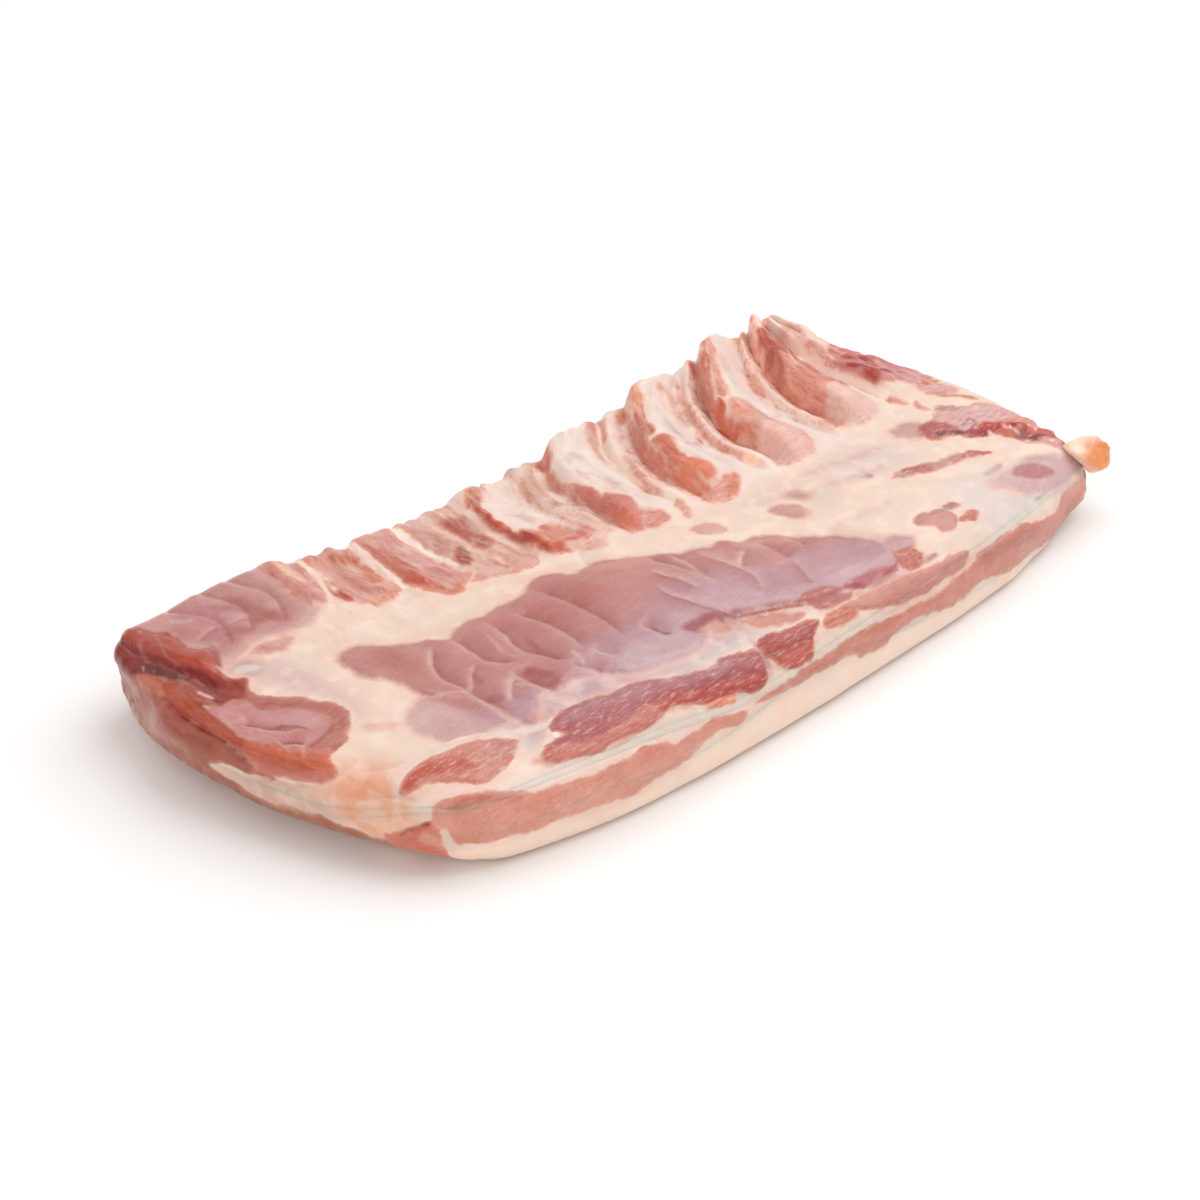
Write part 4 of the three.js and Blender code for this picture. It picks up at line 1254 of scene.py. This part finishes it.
def store(piece: Object, values: dict[str, Array]) -> None:
    """Stores values for each vertex of a piece as attributes.

    Args:
        piece: the piece.
        values: by name, one value or one row of three (a vector or a colour) for each vertex.
    """
    for name, rows in values.items():
        kind, slot = ("FLOAT", "value") if rows.ndim == 1 else ("FLOAT_VECTOR", "vector")
        piece.data.attributes.new(name, kind, "POINT").data.foreach_set(slot, rows.astype(float).ravel())


# ---- finishes


class Node(Enum):
    """Nodes that the finishes use: type, inputs in the order that they are given, output, and settings."""

    PLACE = ("ShaderNodeTexCoord", (), "Object", {})
    STORED = ("ShaderNodeAttribute", (), "Fac", {})
    STORED_COLOUR = ("ShaderNodeAttribute", (), "Color", {})
    STORED_VECTOR = ("ShaderNodeAttribute", (), "Vector", {})
    SCALE = ("ShaderNodeVectorMath", (0, "Scale"), 0, {"operation": "SCALE"})
    TURN = ("ShaderNodeMapping", ("Vector", "Rotation", "Scale"), 0, {})
    NOISE = ("ShaderNodeTexNoise", ("Vector", "Scale", "Detail", "Roughness"), "Fac", {})
    SUM = ("ShaderNodeMath", (0, 1, 2), 0, {"operation": "MULTIPLY_ADD"})  # first times second, plus third
    STEP = ("ShaderNodeMapRange", ("Value", "From Min", "From Max", "To Min", "To Max"), 0,
            {"interpolation_type": "SMOOTHSTEP"})
    MIX = ("ShaderNodeMix", ("Factor", "A", "B"), 0, {})
    OVERLAY = ("ShaderNodeMix", ("Factor", 6, 7), 2, {"data_type": "RGBA"})
    TONE = ("ShaderNodeHueSaturation", ("Value", "Saturation", "Color"), 0, {})
    BUMP = ("ShaderNodeBump", ("Height", "Strength", "Distance"), 0, {})
    BODY = ("ShaderNodeBsdfPrincipled",
            ("Base Color", "Roughness", "Specular IOR Level", "IOR", "Normal", "Coat Weight",
             "Coat Roughness", "Subsurface Weight", "Subsurface Scale", "Subsurface Radius"), 0, {})
    OUTPUT = ("ShaderNodeOutputMaterial", ("Surface",), None, {})


def add_node(tree: bpy.types.NodeTree, kind: Node, *inputs: object, **settings: object) -> Socket | None:
    """Adds a node to a material, with its settings and links.

    Args:
        tree: the material's node tree.
        kind: which node.
        inputs: values, hex colours or sockets for its inputs, in the node's order.
        settings: settings on top of those that the kind has.

    Returns:
        The node's output.
    """
    name, sockets, output, usual = kind.value
    node = tree.nodes.new(name)
    for setting, value in {**usual, **settings}.items():
        setattr(node, setting, value)
    for socket, value in zip(sockets, inputs):
        if isinstance(value, Socket):
            tree.links.new(value, node.inputs[socket])
        else:
            node.inputs[socket].default_value = (*linear(value), 1.0) if isinstance(value, str) else value
    return None if output is None else node.outputs[output]


@dataclass(frozen=True)
class Finish:
    """A material made of nodes."""

    name: str

    def make(self) -> bpy.types.Material:
        """Makes the material and its nodes.

        Returns:
            The new material.
        """
        material = bpy.data.materials.new(self.name)
        material.use_nodes = True
        material.node_tree.nodes.clear()
        add = partial(add_node, material.node_tree)
        add(Node.OUTPUT, self.body(add))
        return material

    def body(self, add: Add) -> Socket:
        """The shader of the material, from a function that adds its nodes."""
        raise NotImplementedError


@dataclass(frozen=True)
class RawMeat(Finish):
    """Raw pork cut with a knife: lean with its fibres, soft fat, and a wet film over both.

    Lengths are in millimetres. Lean is darker and a little glossier than fat; the border between them is
    ragged at the scale of the fibres.
    """

    fibre: float = 1.3  # spacing of the bundles of fibres that show on a cut
    ragged: float = 1.5  # how far the border of lean and fat strays
    granule: float = 2.6  # lobules of fat
    strand: float = 4.0  # strands of muscle and membrane that the ribs left on the fingers
    lean_roughness: float = 0.4
    fat_roughness: float = 0.48
    film: float = 0.16
    relief: float = 0.35

    def patterns(self, add: Add) -> dict[str, Socket]:
        """Values stored on the skin, and noise that has a size in millimetres.

        Fibres run along the slab on the muscle and across it on the fingers and the cut sides, as "lie" says.

        Args:
            add: adds a node.

        Returns:
            The patterns by name.
        """
        look = {name: add(Node.STORED, attribute_name=name)
              for name in ("edge", "soft", "tatter", "grain", "shade", "lip_highlight", "lie")}
        look |= {name: add(Node.STORED_COLOUR, attribute_name=name) for name in ("lean", "fat")}
        skin, fingers = (add(Node.STORED_VECTOR, attribute_name=name) for name in ("skin", "fingers"))
        space = add(Node.SCALE, add(Node.PLACE), 1 / MM)
        along, drawn_out, short, across, fan, strewn = (
            add(Node.TURN, source, (0.0, 0.0, turn), scale)
            for source, turn, scale in (
                (skin, 0.0, (0.1, 1.0, 1.0)), (skin, 0.25, (0.35, 1.0, 1.0)), (skin, 0.45, (0.4, 1.0, 1.0)),
                (fingers, 0.0, (1.0, 0.1, 1.0)), (fingers, 0.0, (1.0, 0.22, 1.0)),
                (space, -0.3, (1.0, 0.35, 1.0)),
            )
        )
        for name, size, detail, rough in (
            ("cloud", 11.0, 4, 0.5), ("broad", 14.0, 3, 0.55), ("lobule", self.granule, 2, 0.55),
            ("torn", 5.0, 4, 0.6), ("film", 22.0, 2, 0.55),
        ):
            look[name] = add(Node.NOISE, space, 1 / size, detail, rough)
        for name, one, one_size, other, other_size, detail, rough in (
            ("run", along, self.fibre, across, self.fibre, 4, 0.6),
            ("fleck", short, 0.9 * self.fibre, strewn, 1.3 * self.fibre, 3, 0.6),
            ("pit", short, 0.7 * self.fibre, strewn, self.fibre, 2, 0.5),
            ("strand", drawn_out, 0.6 * self.strand, fan, self.strand, 3, 0.6),
        ):
            look[name] = add(Node.MIX, look["lie"], add(Node.NOISE, one, 1 / one_size, detail, rough),
                           add(Node.NOISE, other, 1 / other_size, detail, rough))
        stray = add(Node.SUM, look["run"], 1.6 * self.ragged, -1.8 * self.ragged)
        stray = add(Node.SUM, look["torn"], 2.0 * self.ragged, stray)
        look["depth"] = add(Node.SUM, stray, look["tatter"], look["edge"])
        half = add(Node.SUM, look["soft"], 0.5, 0.0)
        look["share"] = add(Node.STEP, look["depth"], add(Node.SUM, half, -1.0, 0.0), half)
        look["calm"] = add(Node.SUM, look["lie"], -0.55, 1.0)
        return look

    def lean_colour(self, add: Add, look: dict[str, Socket]) -> Socket:
        """Lean: its stored tint with fibres, pale threads, dark pits, an orange rim and strands of both.

        Args:
            add: adds a node.
            look: the patterns by name.

        Returns:
            The colour.
        """
        bright = add(Node.SUM, add(Node.SUM, look["run"], 1.0, -0.5),
                     add(Node.SUM, add(Node.SUM, look["grain"], 0.45, 0.12), look["calm"], 0.0), 1.0)
        bright = add(Node.SUM, add(Node.SUM, look["fleck"], 1.0, -0.5),
                     add(Node.SUM, look["grain"], 0.25, 0.22), bright)
        bright = add(Node.SUM, look["broad"], 0.3, add(Node.SUM, bright, 1.0, -0.15))
        colour = add(Node.TONE, bright, add(Node.SUM, look["broad"], -0.3, 1.15), look["lean"])
        thread = add(Node.SUM, add(Node.SUM, look["grain"], 0.8, 0.2), look["calm"], 0.0)
        hollow = add(Node.SUM, add(Node.SUM, look["torn"], 1.6, -0.2),
                     add(Node.SUM, look["grain"], 0.6, 0.4), 0.0)
        rim = add(Node.SUM, add(Node.STEP, look["torn"], 0.46, 0.66), look["grain"], 0.0)
        for name, low, high, most, where, tint in (
            ("fleck", 0.56, 0.72, 0.42, thread, "#DBA5A0"), ("pit", 0.42, 0.3, 0.55, hollow, "#8A4246"),
            ("depth", 3.4, 0.6, 0.75, rim, "#D2683F"), ("strand", 0.5, 0.72, 0.42, look["grain"], "#EFCDC0"),
            ("strand", 0.46, 0.28, 0.42, look["grain"], "#A8483A"),
            ("depth", 2.5, -0.5, 0.35, 1.0, "#EBC3B4"),
        ):
            share = add(Node.SUM, add(Node.STEP, look[name], low, high, 0.0, most), where, 0.0)
            colour = add(Node.OVERLAY, share, colour, tint)
        return colour

    def fat_colour(self, add: Add, look: dict[str, Socket]) -> Socket:
        """Fat: its stored tint, lobules, a blush near lean and over the fingers, pale and dull clouds.

        Args:
            add: adds a node.
            look: the patterns by name.

        Returns:
            The colour.
        """
        bright = add(Node.SUM, look["lobule"], 0.07, add(Node.SUM, look["broad"], 0.1, 0.915))
        colour = add(Node.TONE, bright, add(Node.SUM, look["broad"], 0.5, 0.75), look["fat"])
        for name, low, high, most, where, tint in (
            ("depth", -6.0, 0.5, 0.45, 1.0, "#EFC8B8"), ("strand", 0.5, 0.7, 0.5, look["lie"], "#E2A594"),
            ("cloud", 0.47, 0.65, 0.3, 1.0, "#F8E6D8"), ("cloud", 0.48, 0.3, 0.16, 1.0, "#DDBDAC"),
        ):
            share = add(Node.SUM, add(Node.STEP, look[name], low, high, 0.0, most), where, 0.0)
            colour = add(Node.OVERLAY, share, colour, tint)
        return colour

    def body(self, add: Add) -> Socket:
        """The shader: lean and fat, painted shade and highlights along folds, fine relief, and wet film in
        patches.

        Args:
            add: adds a node.

        Returns:
            The shader's output.
        """
        look = self.patterns(add)
        share = look["share"]
        colour = add(Node.OVERLAY, share, self.fat_colour(add, look), self.lean_colour(add, look))
        # Painted shade over the lobes past each fold, then painted highlights along the edges before them
        shade = add(Node.SUM, look["shade"], add(Node.SUM, look["torn"], 1.4, 0.3), 0.0)
        colour = add(Node.OVERLAY, shade, colour, "#98504C")
        colour = add(Node.OVERLAY, look["lip_highlight"], colour, "#F0D2C8")
        height = add(Node.SUM, look["lobule"], 0.3, add(Node.SUM, share, 0.25, 0.0))
        fibres = add(Node.SUM, add(Node.SUM, share, 0.4, 0.15), look["calm"], 0.0)
        for name, weight in (("run", fibres), ("fleck", add(Node.SUM, share, 0.5, 0.1)),
                             ("cloud", add(Node.SUM, share, -1.2, 1.4))):
            height = add(Node.SUM, look[name], weight, height)
        bump = add(Node.BUMP, height, 1.0, self.relief * MM)
        rough = add(Node.SUM, share, self.lean_roughness - self.fat_roughness, self.fat_roughness)
        rough = add(Node.SUM, look["torn"], 0.2, add(Node.SUM, rough, 1.0, -0.1))
        wet = add(Node.STEP, look["film"], 0.35, 0.7, 0.3 * self.film, 1.4 * self.film)
        wet = add(Node.SUM, add(Node.SUM, look["grain"], -0.35, 0.35), share, wet)
        return add(Node.BODY, colour, rough, 0.5, 1.38, bump, wet, 0.16, 0.45, 0.005, (1.0, 0.35, 0.2))


@dataclass(frozen=True)
class PaintedBoard(Finish):
    """Paint rolled on a board: pale, flat and without gloss."""

    tint: str = "#F7F7F8"

    def body(self, add: Add) -> Socket:
        """The shader: one matt tint."""
        return add(Node.BODY, self.tint, 0.9, 0.1)


# ---- the slab's pieces


@dataclass
class Piece:
    """A piece that takes the place of one node of the frame."""

    node: str

    def start(self) -> Object:
        """Names the primitive that was just added after the node, and applies its place.

        Returns:
            The primitive.
        """
        piece = bpy.context.object
        piece.name = piece.data.name = self.node + "_skin"
        bpy.ops.object.transform_apply(location=True)
        return piece

    def hand_over(self, piece: Object) -> Object:
        """Puts the finished piece in the place of its node.

        Args:
            piece: the piece.

        Returns:
            The same piece.
        """
        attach(piece, "root")
        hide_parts(self.node)
        LOG.info("%s: %d faces", piece.name, len(piece.data.polygons))
        return piece


@dataclass
class Layer(Piece):
    """One layer of the slab, from one meeting of layers up to another."""

    low: int
    high: int
    bands: int
    finish: RawMeat
    smooth_angle: float = 55.0
    insets: tuple[float, ...] = (0.02, 0.04, 0.06, 0.1, 0.2)  # rings of the underside, from its rim inwards

    @property
    def is_top(self) -> bool:
        """Whether the layer's upper side is the slab's skin."""
        return self.high == len(LAYER_NODES)

    def block(self, net: Net) -> Object:
        """A plain drum whose side has a ring for each band; the top layer is a plate with a fine net.

        Args:
            net: the net that its lines follow.

        Returns:
            The plain block.
        """
        clear_selection()
        step = 1.0 / self.bands
        if self.is_top:
            bpy.ops.mesh.primitive_grid_add(x_subdivisions=net.columns, y_subdivisions=net.rows, size=2,
                                            location=(0, 0, 1))
            piece = self.start()
            bpy.ops.object.mode_set(mode="EDIT")
            bpy.ops.mesh.select_all(action="DESELECT")
            bpy.ops.mesh.select_mode(type="EDGE")
            bpy.ops.mesh.select_non_manifold(extend=False)
            for _ in range(self.bands):
                bpy.ops.mesh.extrude_region_move(TRANSFORM_OT_translate={"value": (0, 0, -step)})
            bpy.ops.mesh.edge_face_add()
        else:
            bpy.ops.mesh.primitive_cylinder_add(
                vertices=net.rim, radius=1, depth=step, location=(0, 0, step / 2), end_fill_type="NGON")
            piece = self.start()
            pick_faces(piece, step * 0.99, np.inf)
            for _ in range(self.bands - 1):
                bpy.ops.mesh.extrude_region_move(TRANSFORM_OT_translate={"value": (0, 0, step)})
            if self.low == 0:
                bpy.ops.object.mode_set(mode="OBJECT")
                pick_faces(piece, -np.inf, step * 0.01)
                for inset in self.insets:
                    bpy.ops.mesh.inset(thickness=inset, depth=0)
        bpy.ops.mesh.select_all(action="SELECT")
        bpy.ops.mesh.normals_make_consistent(inside=False)
        bpy.ops.object.mode_set(mode="OBJECT")
        return piece

    def shares(self, piece: Object, net: Net, form: SlabForm) -> tuple[Array, Array, Array]:
        """Shares along, across and up the slab of each vertex of the plain block.

        Args:
            piece: the plain block.
            net: the net that its lines follow.
            form: the slab's form.

        Returns:
            Three arrays of shares from 0 to 1.
        """
        x, y, z = vertex_places(piece).T
        if self.is_top:
            s = net.along[np.rint((x + 1) / 2 * net.columns).astype(int)]
            t = net.across[np.rint((y + 1) / 2 * net.rows).astype(int)]
            inset = np.zeros_like(x)
        else:
            step = np.rint(np.arctan2(y, x) / (2 * np.pi) * net.rim).astype(int) % net.rim
            s, t = net.rim_shares(step)
            inset = np.clip(1 - np.hypot(x, y), 0, 1)
            inset[inset < 0.005] = 0
        heights = form.layer_heights(s, t)
        w = mix(heights[self.low], heights[self.high], np.clip(z, 0, 1)) / form.thickness
        w = np.where(inset > 0, 0.0, w)
        return mix(s, 0.5, inset), mix(t, 0.5, inset), w

    @staticmethod
    def shown(form: SlabForm, skin: Skin, shares: tuple[Array, Array, Array], base: Array,
              facing: Array) -> tuple[dict[str, Array], Array]:
        """What shows at points of the slab's surface: the skin, the knife's cuts and the rind.

        Args:
            form: the slab's form.
            skin: what shows on the skin.
            shares: shares along, across and up the slab.
            base: the points in millimetres, one row each.
            facing: how far the surface faces up, from -1 to 1.

        Returns:
            The values that the finish reads, by name, and how far the surface stands proud in millimetres.
        """
        s, t, w = shares
        x, y, z = base.T
        at = chart(base)
        values, cut = skin.lay_out(at), skin.cut_side(form, s, t, w)
        side = np.maximum((t > 0.5) & (s > 0.02), s > 0.98) * smooth(1.5, 7.0, form.top(x, y) - z)
        under = smooth(-0.75, -0.95, facing)
        lift = values.pop("lift") * (1 - side) * (1 - smooth(-0.2, -0.9, facing)) * smooth(0, 6, z)
        for name, rows in values.items():
            values[name] = mix(rows, cut[name], side if rows.ndim == 1 else side[:, None])
        values["edge"] = mix(values["edge"], -DEEPEST, under)
        values["fat"] = mix(values["fat"], linear(skin.rind), under[:, None])
        fall = CHART_LEVEL - z
        unrolled = at + np.stack([fall * smooth(205, 228, x), fall * smooth(95, 104, y)], -1)
        values["skin"] = np.column_stack([unrolled, np.zeros(len(x))])
        values["fingers"] = np.column_stack([form.line_at(s), y, fall * 0.3])
        values["lie"] = np.maximum(smooth(8, 26, y + 0.1 * x) * (1 - side), 1 - smooth(-222, -196, at[:, 0]))
        return values, lift

    def build(self, net: Net, form: SlabForm, skin: Skin, shift: Array) -> Object:
        """Moulds the layer, lays the skin out on it and gives it its finish.

        Args:
            net: the net that its lines follow.
            form: the slab's form.
            skin: what shows on the slab.
            shift: step from the form's own middle to the frame's, in millimetres.

        Returns:
            The finished piece.
        """
        piece = self.block(net)
        shares = self.shares(piece, net, form)
        base, outward = form.place(*shares), form.outward(*shares)
        values, lift = self.shown(form, skin, shares, base, outward[:, 2])
        places = (base + outward * lift[:, None] + shift) * MM
        places[:, 2] = np.maximum(places[:, 2], 0.0)
        mould(piece, places)
        store(piece, values)
        piece.data.materials.append(self.finish.make())
        clear_selection()
        piece.select_set(True)
        bpy.context.view_layer.objects.active = piece
        bpy.ops.object.shade_smooth_by_angle(angle=math.radians(self.smooth_angle))
        return self.hand_over(piece)


@dataclass
class CartilageStub(Piece):
    """The end of a rib's cartilage that stands out of the right-hand near corner.

    The stub is shaped as a ball of breadth 1 in the directions out of the corner and up along its edge, then
    fitted in its node's box.
    """

    node: str = "cartilage_stub"
    orange: str = "#EC9860"
    cream: str = "#F2D2B8"
    fit: float = 0.82
    lean_out: Place = (3.4, -1.6, 5.0)
    out: Place = (0.707, -0.707, 0.0)
    up: Place = (0.406, 0.406, 0.819)
    sawn_face: Place = (-0.06, -0.88, 0.47)
    sawn_at: float = 0.33
    sawn_middle: tuple[float, float] = (0.17, 0.02)
    sawn_reach: tuple[float, float] = (0.37, 0.5)

    def build(self, finish: RawMeat) -> Object:
        """Models the stub in the place that the frame gives it.

        Args:
            finish: the stub's finish.

        Returns:
            The finished piece.
        """
        low, high = (np.array(corner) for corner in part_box(self.node))
        middle, size = (low + high) / 2, high - low
        clear_selection()
        bpy.ops.mesh.primitive_uv_sphere_add(segments=64, ring_count=40, radius=0.5)
        piece = self.start()
        ball = vertex_places(piece)
        out, up, face = np.array(self.out), np.array(self.up), np.array(self.sawn_face)
        outward, upward, sawn = ball @ out, ball @ up, ball @ face
        form = ball - np.maximum(sawn - self.sawn_at, 0)[:, None] * face
        form += (0.3 * np.minimum(outward, 0))[:, None] * out
        root = np.maximum(-outward - 0.05, 0)[:, None]
        form += root * (0.55 - 1.1 * upward[:, None]) * up
        bumps = 0.13 * Ripple(0.3, 31)(ball) + 0.04 * Ripple(0.12, 32)(ball)
        mould(piece, middle + (form * (1 + bumps)[:, None]) * size * self.fit + np.array(self.lean_out) * MM)
        plane = np.stack([outward, upward], -1)
        cut = np.hypot(*((plane - self.sawn_middle) / self.sawn_reach).T)
        level = {"soft": 3.0, "tatter": 0.4, "grain": 0.0, "shade": 0.0, "lip_highlight": 0.0, "lie": 0.0}
        tints = {"lean": self.orange, "fat": self.cream}
        store(piece, {
            "edge": (1 - np.where(sawn > 0, cut, 3)) * 5,
            **{name: np.full(len(ball), value) for name, value in level.items()},
            **{name: np.tile(linear(tint), (len(ball), 1)) for name, tint in tints.items()},
            **dict.fromkeys(("skin", "fingers"), vertex_places(piece) / MM),
        })
        piece.data.materials.append(finish.make())
        bpy.ops.object.shade_smooth()
        return self.hand_over(piece)


@dataclass
class PorkBelly:
    """The whole slab: four layers and the stub."""

    net: Net = field(default_factory=Net)
    form: SlabForm = field(default_factory=SlabForm)
    skin: Skin = field(default_factory=Skin)

    def shift(self) -> Array:
        """Step from the form's own middle to the frame's, in millimetres, in plan.

        Returns:
            The step as x, y and 0.
        """
        boxes = np.array([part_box(node) for node in LAYER_NODES])
        s, t = self.net.rim_shares(np.arange(self.net.rim))
        rings = np.vstack([self.form.place(s, t, np.full_like(s, w)) for w in np.linspace(0, 1, 23)])
        middle = (rings.min(0) + rings.max(0)) / 2
        step = (boxes[:, 0].min(0) + boxes[:, 1].max(0)) / 2 / MM - middle
        step[2] = 0
        return step

    def build(self) -> None:
        """Builds every layer and the stub."""
        shift = self.shift()
        LOG.info("shift %s", np.round(shift, 2))
        finishes = (
            # Fat under the rind: white to cream, knife cut, firm, with a satin wetness
            RawMeat("raw_pork_back_fat_knife_cut"),
            # Lean of the flank: salmon to rose, cut along its fibres
            RawMeat("raw_pork_lean_knife_cut"),
            # Soft fat between two sheets of lean
            RawMeat("raw_pork_seam_fat_knife_cut"),
            # The side that the ribs were pulled from: muscle and fat under a wet membrane
            RawMeat("raw_pork_rib_side_boned"),
        )
        for low, (node, bands, finish) in enumerate(zip(LAYER_NODES, (9, 7, 3, 7), finishes)):
            Layer(node, low, low + 1, bands, finish).build(self.net, self.form, self.skin, shift)
        # Cartilage sawn and torn: dense, orange-pink, wetter than the meat
        CartilageStub().build(RawMeat("rib_cartilage_sawn", fibre=2.0, ragged=0.6, film=0.6))


# ---- studio


@dataclass(frozen=True)
class SoftLight:
    """A square soft light that faces the slab: its place and side in metres, and its power in watts."""

    name: str
    at: Place
    size: float
    power: float
    tint: str = "#FFFFFF"

    def hang(self) -> None:
        """Adds the light to the room."""
        bpy.ops.object.light_add(type="AREA", location=self.at)
        light = bpy.context.object
        light.name = self.name
        light.data.size, light.data.energy = self.size, self.power
        light.data.color = linear(self.tint)
        light.rotation_euler = (-Vector(self.at)).to_track_quat("-Z", "Y").to_euler()


@dataclass
class Studio:
    """A pale floor, soft light from above and behind, and the camera."""

    azimuth: float = -45.0
    elevation: float = 35.0
    distance: float = 1.4
    lens: float = 85.0
    sensor: float = 36.0
    floor_side: float = 8.0
    aim: Place = (-0.00406, 0.01975, 0.0)
    room: tuple[float, float, float, float] = (1.0, 0.975, 0.945, 1.0)
    room_strength: float = 0.58
    lights: tuple[SoftLight, ...] = (
        SoftLight("softbox", (1.05, -0.15, 1.85), 2.2, 30),
        SoftLight("fill", (-0.9, 1.2, 1.5), 1.8, 6),
        SoftLight("reflector", (-1.4, -0.8, 1.0), 1.4, 7, "#FFF3EA"),
    )

    def lay_floor(self) -> None:
        """A wide plain floor under the slab."""
        clear_selection()
        bpy.ops.mesh.primitive_plane_add(size=self.floor_side, location=(0, 0, 0))
        floor = bpy.context.object
        floor.name = "floor"
        # Matt white paint, rolled smooth: it takes the soft shadow and throws white light back under the slab
        floor.data.materials.append(PaintedBoard("matt_white_paint_rolled").make())

    def light_room(self) -> None:
        """White surroundings and the soft lights."""
        world = bpy.data.worlds.new("white_room")
        world.use_nodes = True
        background = world.node_tree.nodes["Background"]
        background.inputs["Color"].default_value = self.room
        background.inputs["Strength"].default_value = self.room_strength
        bpy.context.scene.world = world
        for light in self.lights:
            light.hang()
        bpy.context.scene.view_settings.view_transform = "Standard"

    def place_camera(self) -> None:
        """The camera, above the near left corner."""
        a, e = math.radians(self.azimuth), math.radians(self.elevation)
        back = Vector((math.sin(a) * math.cos(e), -math.cos(a) * math.cos(e), math.sin(e)))
        bpy.ops.object.camera_add(location=Vector(self.aim) + back * self.distance)
        camera = bpy.context.object
        camera.rotation_euler = (-back).to_track_quat("-Z", "Y").to_euler()
        camera.data.lens, camera.data.sensor_width = self.lens, self.sensor
        bpy.context.scene.camera = camera

    def set_up(self) -> None:
        """Floor, lights and camera."""
        self.lay_floor()
        self.light_room()
        self.place_camera()


def main() -> None:
    """Builds the studio and the slab."""
    logging.basicConfig(level=logging.INFO, format="%(message)s")
    Studio().set_up()
    PorkBelly().build()


if __name__ == "__main__":
    main()
